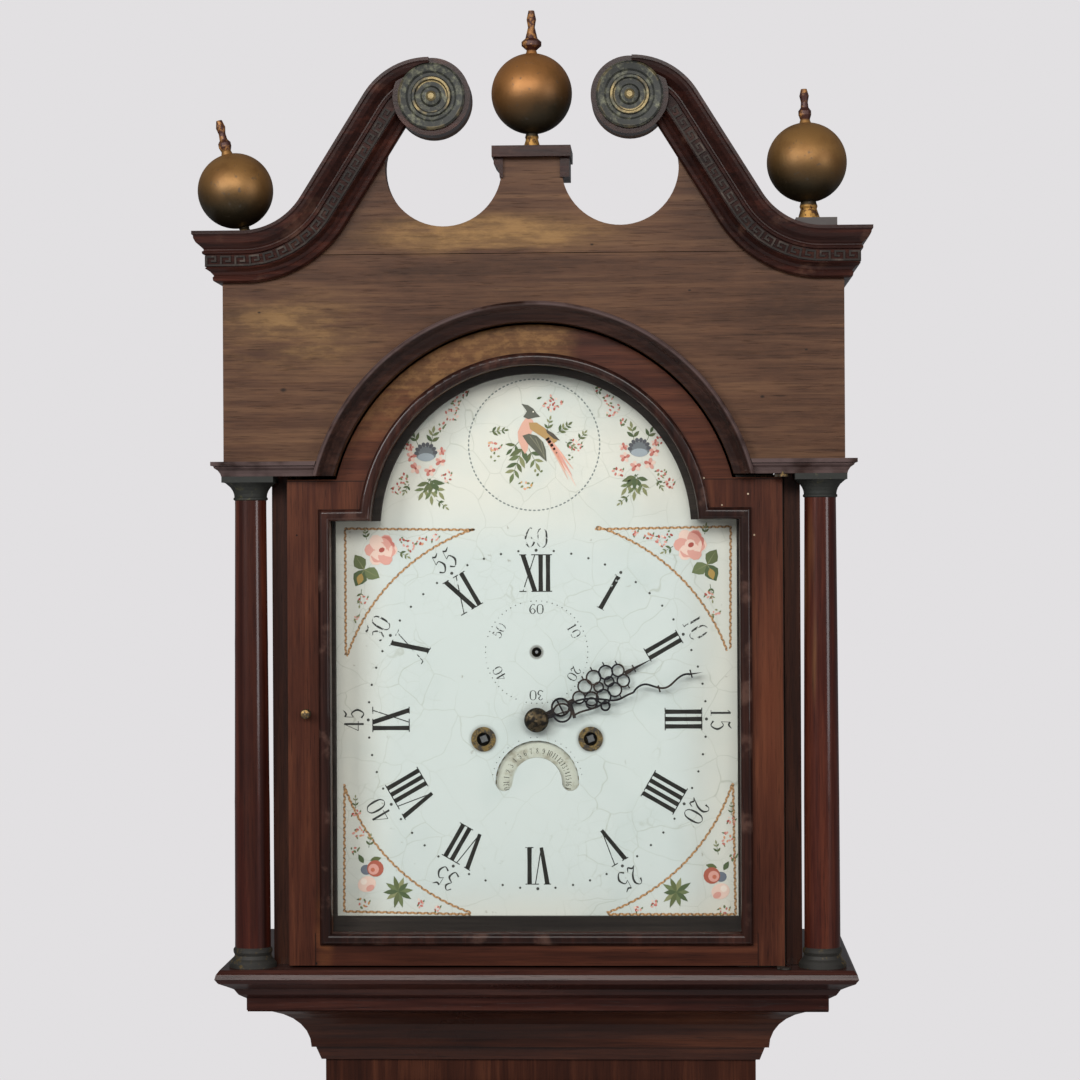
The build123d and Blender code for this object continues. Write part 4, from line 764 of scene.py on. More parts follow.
class Brush:
    """Collects flat strokes, in mm on the front of the dial, and makes one mesh of them."""

    def __init__(self, front=-66.0, centre=(0.0, 0.0)):
        self.points, self.faces, self.colours = [], [], []
        self.front = front
        self.move(centre)

    def move(self, centre, turn=0.0):
        """Draws from here on about a new centre, turned clockwise."""
        self.centre = centre
        self.cosine = math.cos(math.radians(turn))
        self.sine = math.sin(math.radians(turn))

    def shape(self, outline, colour, layer=1, body=1.0):
        """One flat face; each of twenty in turn lies a little in front of the last."""
        first = len(self.points)
        depth = 0.06 * layer + 0.0028 * (len(self.faces) % 20)
        for u, v in outline:
            x = self.centre[0] + u * self.cosine + v * self.sine
            z = self.centre[1] - u * self.sine + v * self.cosine
            self.points.append((x / 1000, (self.front - depth) / 1000, z / 1000))
            self.colours.append((colour[0], colour[1], colour[2], body))
        self.faces.append(tuple(range(first, len(self.points))))

    def curve(self, controls):
        """Points of a smooth line through the controls, five from each to the next."""
        line = []
        ends = [controls[0]] + list(controls) + [controls[-1]]
        for a, b, c, d in zip(ends, ends[1:], ends[2:], ends[3:]):
            for part in range(5):
                t = part / 5
                line.append(tuple(0.5 * (2 * q + (r - p) * t
                                         + (2 * p - 5 * q + 4 * r - s) * t * t
                                         + (3 * q - p - 3 * r + s) * t ** 3)
                                  for p, q, r, s in zip(a, b, c, d)))
        return line + [tuple(controls[-1])]

    def stroke(self, controls, widths, colour, layer=1, body=1.0, smooth=True):
        """A line that swells and thins: widths are spread evenly along it."""
        line = self.curve(controls) if smooth else list(controls)
        last, most = len(line) - 1, len(widths) - 1
        left, right = [], []
        for index, (u, v) in enumerate(line):
            before, after = line[max(index - 1, 0)], line[min(index + 1, last)]
            du, dv = after[0] - before[0], after[1] - before[1]
            length = math.hypot(du, dv) or 1.0
            where = index / last * most
            low = max(min(int(where), most - 1), 0)
            width = widths[low] + (widths[min(low + 1, most)] - widths[low]) * (where - low)
            left.append((u - dv / length * width / 2, v + du / length * width / 2))
            right.append((u + dv / length * width / 2, v - du / length * width / 2))
        for index in range(last):
            self.shape((left[index], left[index + 1], right[index + 1], right[index]),
                       colour, layer, body)

    def dot(self, centre, radius, colour, layer=1, body=1.0, sides=10, tall=1.0, turn=0.0):
        """A round or oval dab."""
        outline = []
        for side in range(sides):
            angle = 2 * math.pi * side / sides
            outline.append(turned(centre, turn, radius * math.cos(angle),
                                  radius * tall * math.sin(angle)))
        self.shape(outline, colour, layer, body)

    def leaf(self, foot, angle, length, width, colour, layer=2, body=1.0):
        """A pointed leaf that starts at its foot and grows at the angle."""
        edge = ((0, 0), (0.2, 0.32), (0.45, 0.5), (0.7, 0.36), (1, 0), (0.7, -0.36),
                (0.45, -0.5), (0.2, -0.32))
        self.shape([turned(foot, angle, along * length, out * width) for along, out in edge],
                   colour, layer, body)

    def piece(self, name, material, body):
        """Ends the drawing as a piece that rides on a body."""
        mesh = bpy.data.meshes.new(name)
        mesh.from_pydata(self.points, [], self.faces)
        paint = mesh.color_attributes.new("paint", "FLOAT_COLOR", "POINT")
        for value, colour in zip(paint.data, self.colours):
            value.color = colour
        made = bpy.data.objects.new(name, mesh)
        scene.collection.objects.link(made)
        bpy.ops.object.select_all(action="DESELECT")
        made.select_set(True)
        bpy.context.view_layer.objects.active = made
        made.data.materials.append(material)
        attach(made, body)


def film(name, rough):
    """Paint in the strokes' own colours, rubbed through where their fourth value is low."""
    finish = Finish(name)
    paint = finish.node("ShaderNodeAttribute", {"attribute_name": "paint"})
    wear = finish.noise(260.0, 4.0, None, 0.62, 3.0)
    patch = finish.noise(45.0, 3.0, None, 0.6, 8.0)
    tone = finish.noise(120.0, 3.0, None, 0.6, 5.0)
    level = 0.74 - paint.out("Alpha") * 0.50
    wear_and_sheen = wear * 0.7 + patch * 0.3
    finish.shader.inputs["Specular IOR Level"].default_value = 0.12
    colour = finish.mix(paint, tint(176, 172, 154), tone * 0.06)
    return finish.set(Base_Color=colour, Alpha=finish.step(wear_and_sheen - level, -0.02, 0.03),
                      Roughness=rough + tone * 0.1)


figure_paint = film("figure_paint", 0.38)

# Strokes of each figure in a box one wide and one high: its points, then its widths.
DIGITS = {
    "0": ((((0.5, 1), (0.12, 0.86), (0.02, 0.5), (0.12, 0.14), (0.5, 0), (0.88, 0.14),
            (0.98, 0.5), (0.88, 0.86), (0.5, 1)), (0.4, 1, 1.7, 1, 0.4, 1, 1.7, 1, 0.4)),),
    "1": ((((0.5, 1), (0.5, 0.5), (0.5, 0.0)), (1.6, 1.6, 1.6)),
          (((0.2, 0.84), (0.5, 1)), (0.4, 0.8)),
          (((0.2, 0.0), (0.8, 0.0)), (0.4, 0.4))),
    "2": ((((0.12, 0.74), (0.22, 0.95), (0.52, 1.0), (0.84, 0.8), (0.72, 0.48), (0.32, 0.2),
            (0.06, 0.02)), (1.6, 0.5, 0.6, 1.6, 1.5, 0.7, 0.4)),
          (((0.06, 0.05), (0.4, 0.12), (0.74, 0.0), (0.98, 0.2)), (0.6, 1.5, 1.2, 0.4))),
    "3": ((((0.14, 0.84), (0.5, 1.0), (0.8, 0.8), (0.42, 0.54)), (0.9, 0.5, 1.5, 0.4)),
          (((0.42, 0.54), (0.92, 0.34), (0.62, 0.0), (0.08, 0.12)), (0.4, 1.7, 0.8, 1.3))),
    "4": ((((0.68, 1.0), (0.34, 0.62), (0.02, 0.28)), (0.5, 0.4, 0.5)),
          (((0.0, 0.28), (1.0, 0.28)), (0.5, 0.5)),
          (((0.7, 1.0), (0.7, 0.5), (0.7, 0.0)), (1.6, 1.6, 1.6))),
    "5": ((((0.2, 0.97), (0.5, 0.9), (0.86, 1.04)), (1.2, 1.4, 0.4)),
          (((0.2, 0.97), (0.16, 0.52)), (0.4, 0.4)),
          (((0.16, 0.52), (0.56, 0.62), (0.92, 0.32), (0.56, 0.0), (0.08, 0.12)),
            (0.4, 0.8, 1.7, 0.7, 1.4))),
    "6": ((((0.86, 0.9), (0.5, 1.0), (0.1, 0.62), (0.08, 0.28), (0.5, 0.0), (0.92, 0.28),
            (0.5, 0.56), (0.12, 0.34)), (1.2, 0.5, 1.4, 1.7, 0.5, 1.6, 0.5, 0.6)),),
    "7": ((((0.06, 0.84), (0.3, 1.0), (0.66, 0.9), (0.96, 1.0), (0.5, 0.4), (0.42, 0.0)),
            (0.4, 1.2, 1.0, 0.4, 1.0, 1.6)),),
    "8": ((((0.5, 1), (0.2, 0.78), (0.5, 0.52), (0.92, 0.24), (0.5, 0), (0.08, 0.24), (0.5, 0.52),
            (0.8, 0.78), (0.5, 1)), (0.5, 1.2, 1.4, 1.0, 0.5, 1.0, 0.6, 1.0, 0.5)),),
    "9": ((((0.14, 0.1), (0.5, 0.0), (0.9, 0.38), (0.92, 0.72), (0.5, 1.0), (0.08, 0.72),
            (0.5, 0.44), (0.88, 0.66)), (1.2, 0.5, 1.4, 1.7, 0.5, 1.6, 0.5, 0.6)),),
}


def write(brush, text, width, height, weight, colour, body):
    """Figures side by side, a quarter of their width apart, centred on the brush's place."""
    total = len(text) * width + (len(text) - 1) * width * 0.25
    for index, letter in enumerate(text):
        left = -total / 2 + index * width * 1.25
        for controls, widths in DIGITS[letter]:
            line = [(left + u * width, (v - 0.5) * height) for u, v in controls]
            brush.stroke(line, [value * weight for value in widths], colour, 1, body)


INK = tint(12, 11, 11)
GREY_INK = tint(58, 58, 56)
DIAL_Z = 1688.2
DATE_Z = 1640.0


def roman(brush, text, height, colour, body):
    """Thick and thin strokes with hairline serifs. V stands on its point."""
    thick, thin, slant = 3.5, 0.75, 4.6
    widths = {"I": 5.6, "V": 12.5, "X": 12.5}
    left = -sum(widths[letter] for letter in text) / 2
    top, foot = height / 2, -height / 2

    def line(points, swell, share=1.0):
        brush.stroke(points, swell, colour, 1, body * share, False)

    def serif(middle, level, half):
        line([(middle - half, level), (middle + half, level)], (thin,), 0.72)

    for letter in text:
        middle = left + widths[letter] / 2
        if letter == "I":
            line([(middle, foot), (middle, 0), (middle, top)], (thick, thick * 0.9, thick))
            for level in (foot, top):
                serif(middle, level, 3.1)
        elif letter == "V":
            line([(middle - slant, top), (middle, foot)], (thick, thick * 0.8))
            line([(middle + slant, top), (middle, foot)], (thin, thin), 0.8)
            for offset in (-slant, slant):
                serif(middle + offset, top, 2.7)
        else:
            line([(middle - slant, top), (middle + slant, foot)], (thick, thick))
            line([(middle + slant, top), (middle - slant, foot)], (thin, thin), 0.7)
            for offset in (-slant, slant):
                for level in (foot, top):
                    serif(middle + offset, level, 2.7)
        left += widths[letter]


brush = Brush()
HOURS = ("XII", "I", "II", "III", "IIII", "V", "VI", "VII", "VIII", "IX", "X", "XI")
WEAR = (0.92, 0.72, 0.86, 0.9, 0.92, 0.84, 0.92, 0.92, 0.94, 0.9, 0.78, 0.84)
for hour, (numeral, body) in enumerate(zip(HOURS, WEAR)):
    brush.move(on_ring(30 * hour, 112.0, DIAL_Z), 30 * hour)
    roman(brush, numeral, 28.0, INK, body)
brush.move((0, DIAL_Z))
for minute in range(60):
    size = 0.95 if minute % 5 else 1.25
    brush.dot(on_ring(6 * minute, 129.5), size, GREY_INK, 1, 0.78, 8)
FIVES = (("60", 0.47), ("10", 0.52), ("15", 0.72), ("20", 0.70), ("25", 0.80), ("35", 0.74),
         ("40", 0.76), ("45", 0.80), ("50", 0.62), ("55", 0.72))
for figures, body in FIVES:
    angle = 6 * int(figures)
    brush.move(on_ring(angle, 139.0 if figures == "60" else 140.5, DIAL_Z), angle)
    write(brush, figures, 7.4, 15.0, 1.0, tint(40, 40, 40), body)
brush.piece("dial_hours", figure_paint, "case")

SECONDS_Z = DIAL_Z + 51.5
TENS = (("60", 0.86), ("10", 0.5), ("20", 0.66), ("30", 0.84), ("40", 0.66), ("50", 0.56))
brush = Brush(centre=(0, SECONDS_Z))
for second in range(60):
    brush.dot(on_ring(6 * second, 39.2), 0.5, GREY_INK, 1, 0.62, 6)
for figures, body in TENS:
    angle = 6 * int(figures)
    brush.move(on_ring(angle, 33.0, SECONDS_Z), angle)
    write(brush, figures, 4.6, 7.4, 0.62, tint(34, 34, 34), body)
brush.move((0, DATE_Z))
for turn in range(-80, 81, 8):
    brush.dot(on_ring(turn, 34.6), 0.42, GREY_INK, 1, 0.6, 6)
brush.piece("dial_seconds", figure_paint, "case")

brush = Brush(-62.4)
for day in range(31):
    angle = 360 / 31 * day
    brush.move(on_ring(angle, 24.0, DATE_Z), angle)
    write(brush, str((day + 7) % 31 + 1), 1.7, 4.2, 0.34, tint(60, 58, 52), 0.66)
brush.piece("date_figures", figure_paint, "date_disc")


# Painted ornament of the dial.
# In the arch a crested bird sits on a leafy spray inside a dotted ring, between two sprays of
# flowers. Each corner has a gold-brown leaf border round a rose, with leaves and sprigs.

flower_paint = film("flower_paint", 0.34)
PINKS = (tint(202, 146, 134), tint(182, 108, 98), tint(216, 186, 172), tint(156, 72, 64))
GREENS = (tint(98, 108, 72), tint(72, 86, 56), tint(124, 126, 88), tint(86, 94, 60))
GOLD_BROWN = tint(150, 112, 72)
chance = random.Random(11)


def petal(brush, centre, angle, reach, size, colour, layer, body, tall):
    """An oval dab that points away from a centre."""
    brush.dot(turned(centre, angle, reach), size, colour, layer, body, 9, tall, angle)


def rose(brush, centre, radius, light):
    """A pale cup of petals, a deeper edge on one side and a red heart."""
    brush.dot(centre, radius * 0.86, PINKS[2], 3, 0.96, 16, 0.92, light)
    for angle in range(0, 360, 60):
        petal(brush, centre, angle + light, radius * 0.52, radius * 0.50,
              PINKS[0] if angle % 120 else PINKS[2], 4, 0.9, 0.86)
    for offset, reach, colour in ((-95, 0.80, PINKS[1]), (-62, 0.84, PINKS[1]),
                                  (-128, 0.80, PINKS[0]), (120, 0.74, PINKS[0]),
                                  (-80, 0.46, PINKS[0])):
        angle = light + offset
        middle = turned(centre, angle, radius * reach)
        ends = [turned(middle, angle, radius * -0.14, radius * across) for across in (-0.36, 0.36)]
        brush.stroke([ends[0], middle, ends[1]], (0.3, radius * 0.22, 0.3), colour, 5, 0.86)
    brush.dot(centre, radius * 0.34, PINKS[2], 6, 0.92, 12)
    heart = (centre[0] + radius * 0.05, centre[1])
    brush.dot(heart, radius * 0.15, PINKS[3], 7, 0.86, 8, 1.3, light)


def frond(brush, foot, angle, length, pairs, size, width=0.42, body=0.9):
    """Brush-stroke leaves in pairs along a stem, with one at the tip."""
    tip = turned(foot, angle, length)
    brush.stroke([foot, tip], (0.5, 0.25), GREENS[1], 2, body * 0.85, False)
    for pair in range(pairs):
        share = (pair + 0.55) / pairs
        where = (foot[0] + (tip[0] - foot[0]) * share, foot[1] + (tip[1] - foot[1]) * share)
        reach = size * (1.1 - 0.45 * share)
        for side in (-1, 1):
            turn = angle + side * chance.uniform(38, 54)
            brush.leaf(where, turn, reach * chance.uniform(0.85, 1.1), reach * width,
                       GREENS[(pair + side) % 4], 3, body)
    brush.leaf(tip, angle, size * 0.8, size * width * 0.8, GREENS[pairs % 4], 3, body)


def cluster(brush, centre, radius, count, colours=PINKS, green=True):
    """Small separate strokes round a middle: buds and florets, with a few leaves between."""
    for index in range(count):
        angle = 360 / count * index + chance.uniform(-14, 14)
        spot = turned(centre, angle, radius * chance.uniform(0.35, 1.0))
        brush.dot(spot, chance.uniform(0.9, 1.45), colours[index % len(colours)], 3, 0.84, 8, 0.66,
                  chance.uniform(0, 180))
        if green and index % 3 == 0:
            brush.leaf(spot, angle + 60, 3.0, 1.3, GREENS[index % 4], 2, 0.84)


def spots_about(centre, side):
    """Gives points u outwards and v up from a middle, on the left (-1) or the right (1)."""
    return lambda u, v: (centre[0] + u * side, centre[1] + v)


def border(brush, start, end, bulge):
    """A chain of small strokes along a line or, with a bulge, an arc of that radius."""
    count = int(math.hypot(end[0] - start[0], end[1] - start[1]) / 2.6)
    points = []
    for index in range(count + 1):
        t = index / count
        u, v = start[0] + (end[0] - start[0]) * t, start[1] + (end[1] - start[1]) * t
        if bulge:
            reach = math.hypot(u, v)
            u, v = u * bulge / reach, v * bulge / reach
        points.append((u, v))
    for index, (first, second) in enumerate(zip(points, points[1:])):
        angle = math.degrees(math.atan2(second[1] - first[1], second[0] - first[0]))
        middle = ((first[0] + second[0]) / 2, (first[1] + second[1]) / 2)
        brush.dot(middle, 1.65, GOLD_BROWN if index % 3 else tint(118, 92, 66), 2, 0.82, 8, 0.5,
                  angle + (34 if index % 2 else -34))
        brush.dot(first, 0.75, tint(186, 142, 100), 3, 0.72, 6)


brush = Brush(centre=(0.0, DIAL_Z))
CHAINS = (((-146.5, 146.8), (-47.0, 145.3), 0), ((-146.5, 146.8), (-146.5, 49.7), 0),
          ((-146.5, 49.7), (-47.0, 145.3), 153.5),
          ((45.5, 145.3), (148.7, 146.8), 0), ((148.7, 146.8), (148.0, 53.5), 0),
          ((148.0, 53.5), (45.5, 145.3), 154.5),
          ((-148.0, -49.7), (-148.7, -146.8), 0), ((-148.7, -146.8), (-51.6, -149.1), 0),
          ((-148.0, -49.7), (-51.6, -149.1), 156.5),
          ((149.5, -49.7), (151.0, -149.1), 0), ((151.0, -149.1), (53.1, -149.1), 0),
          ((149.5, -49.7), (53.1, -149.1), 157.0))
for start, end, bulge in CHAINS:
    border(brush, start, end, bulge)

for side, centre in ((-1, (-119.0, 130.3)), (1, (117.8, 133.0))):
    at = spots_about(centre, side)
    rose(brush, centre, 12.6, 120)
    foot = at(13.0, -15.0)
    for angle, length, width, colour in ((58, 13.5, 10.5, GREENS[3]), (-152, 13.5, 10.5, GREENS[0]),
                                         (-62, 14.5, 11.5, GREENS[1])):
        turn = angle if side > 0 else 180 - angle
        brush.leaf(foot, turn, length, width, colour, 2, 0.96)
        brush.stroke([foot, turned(foot, turn, length * 0.8)], (0.6, 0.2), GREENS[2], 3, 0.8, False)
    brush.leaf(at(15, -18), -90 + 16 * side, 9, 5.5, tint(160, 130, 70), 4, 0.8)
    cluster(brush, at(-22, 3), 4.6, 9)
    cluster(brush, at(-31, 7), 3.6, 6, (PINKS[1], PINKS[3], tint(196, 140, 110)))
    cluster(brush, at(-16, 8), 2.6, 4, (PINKS[3], GREENS[0]), False)
    cluster(brush, at(-42, 9), 3.0, 5)
    frond(brush, at(-13, -1), 90 + 120 * side, 8, 2, 4.6)
    frond(brush, at(11, 8), 90 - 10 * side, 6, 2, 4.4)
    cluster(brush, at(14, -38), 3.2, 6)
    cluster(brush, at(19, -52), 2.8, 5, (PINKS[0], GREENS[2]))
    frond(brush, at(15, -30), -90 + 8 * side, 12, 2, 4.0)

for side, centre, star in ((-1, (-124.6, -113.9), (-107.0, -131.5)),
                           (1, (133.0, -119.5), (106.0, -132.0))):
    at, by_star = spots_about(centre, side), spots_about(star, side)
    brush.dot(at(7, -1), 4.4, tint(98, 104, 116), 3, 0.9, 12, 0.9)
    brush.leaf(at(4, 6), 90 + 76 * side, 9, 4.4, GREENS[3], 3, 0.92)
    brush.leaf(at(9, 4), 90 - 30 * side, 8, 4.2, GREENS[1], 3, 0.92)
    brush.dot(at(6.6, -12), 7.2, PINKS[2], 4, 0.94, 14, 0.84, 20)
    brush.dot(at(4, -15), 3.4, PINKS[0], 5, 0.8, 10, 0.7, 30)
    brush.dot(at(9, -10), 2.6, tint(220, 204, 192), 5, 0.9, 9)
    brush.dot(centre, 6.4, tint(160, 84, 68), 5, 0.94, 14)
    brush.dot(at(1.4, -0.6), 4.2, PINKS[0], 6, 0.9, 12)
    brush.dot(at(2.0, -1.0), 1.7, tint(178, 98, 76), 7, 0.9, 8)
    for step in range(10):
        angle = 36 * step + chance.uniform(-6, 6)
        brush.leaf(star, angle, chance.uniform(9.5, 13.5), 3.9, GREENS[step % 4], 3 + step % 2,
                   0.95)
    cluster(brush, by_star(-17, -9), 3.4, 6)
    cluster(brush, by_star(-30, -13), 2.8, 5)
    cluster(brush, at(12, 28), 4.8, 9, (PINKS[1], tint(198, 140, 104), PINKS[0]))
    cluster(brush, at(15, 42), 3.2, 6)
    cluster(brush, at(16, 14), 3.0, 5, (GREENS[0], PINKS[1]))
    frond(brush, at(5, 16), 90 + 10 * side, 8, 2, 4.4)
    frond(brush, at(15, 46), 90, 8, 2, 3.4)
    cluster(brush, at(9, -27), 4.6, 8, (tint(176, 130, 84), PINKS[1], GREENS[0]))
brush.piece("dial_corners", flower_paint, "case")

brush = Brush(centre=(-1.1, DIAL_Z + 210.2))
for step in range(92):
    turn = 360 / 92 * step
    brush.dot(on_ring(turn, 50.2), 1.2, tint(112, 118, 116), 1, 0.86, 8, 0.5, -turn)
for foot, angle, length, pairs, size in (((-8, 0), 250, 23, 4, 11.0), ((-4, -3), 296, 12, 2, 9.5),
                                         ((-11, 3), 226, 8, 1, 9.0)):
    frond(brush, foot, angle, length, pairs, size, 0.36, 0.96)
cluster(brush, (-6, -31), 4.6, 7, (tint(188, 146, 92), GREENS[2], tint(204, 150, 120)))
cluster(brush, (3, -20), 3.2, 4, GREENS, False)
neck = tint(204, 156, 138)
brush.shape([(-5, 22), (-9, 17), (-12.5, 10), (-12, 3), (-9.5, -3), (-7, -7), (-5, -4), (-4, 3),
             (-2, 9), (1, 14), (-1, 19)], neck, 4, 0.94)
brush.shape([(-4, 17), (2, 17), (8, 13), (14, 8), (18, 3), (15, 1), (9, 4), (3, 8), (-3, 12)],
            tint(164, 130, 82), 5, 0.95)
brush.shape([(9, 12), (15, 8.5), (20, 3), (15, 4.5), (10, 9)], tint(74, 66, 58), 6, 0.92)
brush.shape([(-9, 7), (-4, 8.5), (2, 7), (7, 2), (9, -4), (9.5, -13), (5, -9), (0, -4), (-5, 1)],
            tint(84, 84, 72), 6, 0.95)
for offset in (0.0, 2.6, 5.2):
    brush.stroke([(-3 + offset * 1.6, 6.5 - offset * 0.6), (2 + offset, 0 - offset),
                  (8, -9 - offset * 0.4)], (0.5, 0.2), tint(128, 124, 104), 7, 0.7)
TAIL = (((32, -32), 2.6, PINKS[2]), ((29, -24), 2.6, PINKS[0]),
        ((26, -27), 2.4, tint(206, 168, 152)), ((24, -20), 2.2, tint(200, 138, 116)),
        ((30, -19), 2.0, tint(214, 160, 140)))
for end, width, colour in TAIL:
    bend = (10 + (end[0] - 10) * 0.5, 4 + (end[1] - 4) * 0.45)
    brush.stroke([(10, 5), bend, end], (3.2, width, 0.2), colour, 5, 0.86)
brush.shape([(-9.6, 31.4), (-4.5, 30.4), (-0.4, 27.6), (2.0, 24.2), (4.8, 21.4), (0.8, 20.8),
             (-4.4, 19.6), (-8.2, 21.4), (-5.4, 25.4), (-7.2, 28.4)], tint(84, 84, 76), 6, 0.96)
brush.dot((-0.5, 25.2), 0.6, tint(226, 220, 204), 7, 1.0, 6)
cluster(brush, (14, 31), 7.4, 14)
cluster(brush, (14, 32), 3.0, 5, (PINKS[3], PINKS[1]), False)
brush.leaf((2, 35), 20, 4.6, 1.8, GREENS[1], 3, 0.9)
frond(brush, (10, 10), 76, 9, 2, 5.0)
frond(brush, (18, 9), 36, 10, 3, 5.6)
frond(brush, (24, 2), -30, 7, 2, 4.6)
cluster(brush, (32, -1), 5.4, 10)
frond(brush, (34, 3), 50, 7, 2, 4.6)
cluster(brush, (28, -10), 2.6, 3, GREENS, False)
frond(brush, (-34, 10), 6, 11, 3, 5.0)
cluster(brush, (-31, -1), 5.6, 10, (PINKS[0], tint(206, 160, 120), PINKS[1]))
cluster(brush, (-30, -9), 3.2, 4, (GREENS[2], GREENS[0]), False)

for side, centre in ((-1, (-83.0, -9.5)), (1, (80.5, -7.0))):
    at = spots_about(centre, side)
    for angle, length in ((-90 - 34 * side, 15), (-90 - 4 * side, 16), (-90 + 28 * side, 14)):
        frond(brush, at(-3, -16), angle, length * 0.8, 2, 10.0, 0.36, 0.96)
    frond(brush, at(-1, -16), 90 + 130 * side, 6, 1, 8.0, 0.4)
    brush.dot(at(0, 3), 8.0, tint(104, 108, 112), 4, 0.92, 16, 0.72)
    brush.dot(at(0, 0.5), 6.4, tint(150, 158, 164), 5, 0.8, 14, 0.5)
    for angle in range(8, 180, 24):
        petal(brush, at(0, 3), angle, 7.2, 1.9, tint(78, 78, 84), 5, 0.85, 0.8)
    for u, v, size in ((11, 1, 4.6), (8, -8, 5.0), (-3, -10, 4.8), (-11, -3, 4.4), (-12, 5, 3.6),
                       (12, 8, 3.2)):
        spot = at(u, v)
        for step in range(5):
            petal(brush, spot, 72 * step + chance.uniform(0, 30), size * 0.5, size * 0.44,
                  PINKS[(step + int(size)) % 3], 4, 0.86, 0.7)
        brush.dot(spot, size * 0.2, PINKS[3], 6, 0.84, 6)
    frond(brush, at(-4, 10), 90 + 10 * side, 9, 2, 7.6, 0.4)
    frond(brush, at(6, 10), 90 - 24 * side, 6, 1, 7.6, 0.4)
    cluster(brush, at(16, 10), 3.4, 5, (PINKS[3], PINKS[1]))
    cluster(brush, at(-16, -14), 4.4, 8)
    cluster(brush, at(17, -16), 4.2, 8, (PINKS[1], GREENS[2], PINKS[3]))
    cluster(brush, at(23, -24), 4.6, 8, (PINKS[3], PINKS[0]))
    frond(brush, at(13, -20), 90 - 150 * side, 7, 2, 4.4)
    frond(brush, at(-8, -32), -90 - 50 * side, 9, 2, 4.6)
    cluster(brush, at(-20, 33), 5.8, 11)
    cluster(brush, at(-24, 42), 4.4, 8, (PINKS[0], GREENS[0], PINKS[1]))
    cluster(brush, at(-31, 49), 3.0, 5, (GREENS[1], PINKS[3]))
    cluster(brush, at(-13, 24), 3.0, 5, (GREENS[0], PINKS[1]))
brush.piece("dial_arch", flower_paint, "case")


# Hands.
# Dark steel with a trace of blue, and a worn brass collet on the minute hand.

def steel_finish(name, dark, pale, rough, scale=90.0, offset=0.0):
    """Grey steel with a little rust."""
    finish = Finish(name)
    cloud = finish.noise(scale, 4.0, None, 0.6, offset)
    fine = finish.noise(scale * 5, 3.0, None, 0.6, offset + 1.0)
    rust = finish.step(fine * 0.5 + cloud * 0.5, 0.58, 0.68)
    colour = finish.mix(finish.mix(dark, pale, cloud), tint(62, 38, 26), rust * 0.6)
    finish.bump(fine, 0.0001, 0.4)
    return finish.set(Base_Color=colour, Metallic=0.9 - rust * 0.6,
                      Roughness=rough + rust * 0.25 + fine * 0.08)


finish = Finish("hand_steel")
fine = finish.noise(300.0, 3.0, None, 0.6, 2.0)
cloud = finish.noise(60.0, 3.0, None, 0.6, 4.0)
within = 1.0 - finish.step(finish.reach((0.0, CENTRE_Z)), 0.0088, 0.0094)
collet = within * (1.0 - finish.step(finish.y, -0.0768, -0.0764))
steel = finish.mix(tint(24, 22, 26), tint(52, 42, 36), finish.step(cloud, 0.42, 0.62))
brass = finish.mix(tint(74, 62, 44), tint(30, 26, 22), finish.step(fine, 0.42, 0.6))
colour = finish.mix(steel, brass, collet)
finish.bump(fine, 0.0001, 0.4)
dress(finish.set(Base_Color=colour, Metallic=0.75 + collet * 0.15, Roughness=0.36 + fine * 0.12),
      "hour_hand", "minute_hand", "cannon_pinion")


# Movement.
# Brass plates, wheels and barrels gone a little brown, with bright steel at each arbor, a
# bell of pale metal, a steel hammer and anchor.

def clock_brass(name, centre, steel_r, offset):
    """Brass, with the steel of an arbor inside a radius about its centre, if one is given."""
    finish = Finish(name)
    cloud = finish.noise(40.0, 4.0, None, 0.6, offset)
    fine = finish.noise(320.0, 3.0, (1, 1, 0.2), 0.6, offset + 1.0)
    dull = finish.step(cloud, 0.44, 0.66)
    colour = finish.mix(tint(190, 152, 86), tint(126, 92, 50), dull * 0.7 + fine * 0.15)
    rough = 0.28 + dull * 0.16 + fine * 0.08
    if centre:
        bright = 1.0 - finish.step(finish.reach(centre), steel_r, steel_r + 0.0004)
        steel = finish.mix(tint(150, 152, 154), tint(96, 94, 92), cloud)
        colour = finish.mix(colour, steel, bright)
    finish.bump(fine, 0.0001, 0.3)
    return finish.set(Base_Color=colour, Metallic=0.98 - dull * 0.12, Roughness=rough)


for name, centre, steel_r, offset, pieces in (
        ("plate_brass", None, 0.0, 0.0, ("movement_plates",)),
        ("centre_brass", (0.0, CENTRE_Z), 0.0030, 1.0, ("centre_arbor", "hour_wheel")),
        ("escape_brass", (0.0, SECONDS_HOLE_Z), 0.0026, 2.0, ("escape_wheel",)),
        ("going_brass", (ARBOR_X, ARBOR_Z), 0.0048, 3.0, ("great_wheel_going", "barrel_going")),
        ("strike_brass", (-ARBOR_X, ARBOR_Z), 0.0048, 4.0, ("great_wheel_strike", "barrel_strike")),
        ("third_brass", (0.0121, 1.7141), 0.0026, 5.0, ("third_wheel",)),
        ("minute_brass", (0.0246, 1.7054), 0.0022, 6.0, ("minute_wheel",)),
        ("train_brass", None, 0.0, 7.0, ("pin_wheel", "pallet_wheel", "warning_wheel", "fly"))):
    dress(clock_brass(name, centre, steel_r, offset), *pieces)

finish = Finish("bell_metal")
cloud = finish.noise(36.0, 4.0, None, 0.6, 3.0)
turning = finish.noise(160.0, 2.0, (0.05, 0.05, 1), 0.5, 1.0)
colour = finish.mix(tint(196, 172, 118), tint(138, 116, 74), finish.step(cloud, 0.42, 0.68))
finish.bump(turning, 0.0001, 0.4)
dress(finish.set(Base_Color=colour, Metallic=0.97 - cloud * 0.1, Roughness=0.22 + cloud * 0.16),
      "bell")
dress(steel_finish("arbor_steel", tint(92, 92, 94), tint(150, 150, 150), 0.30), "hammer", "anchor")


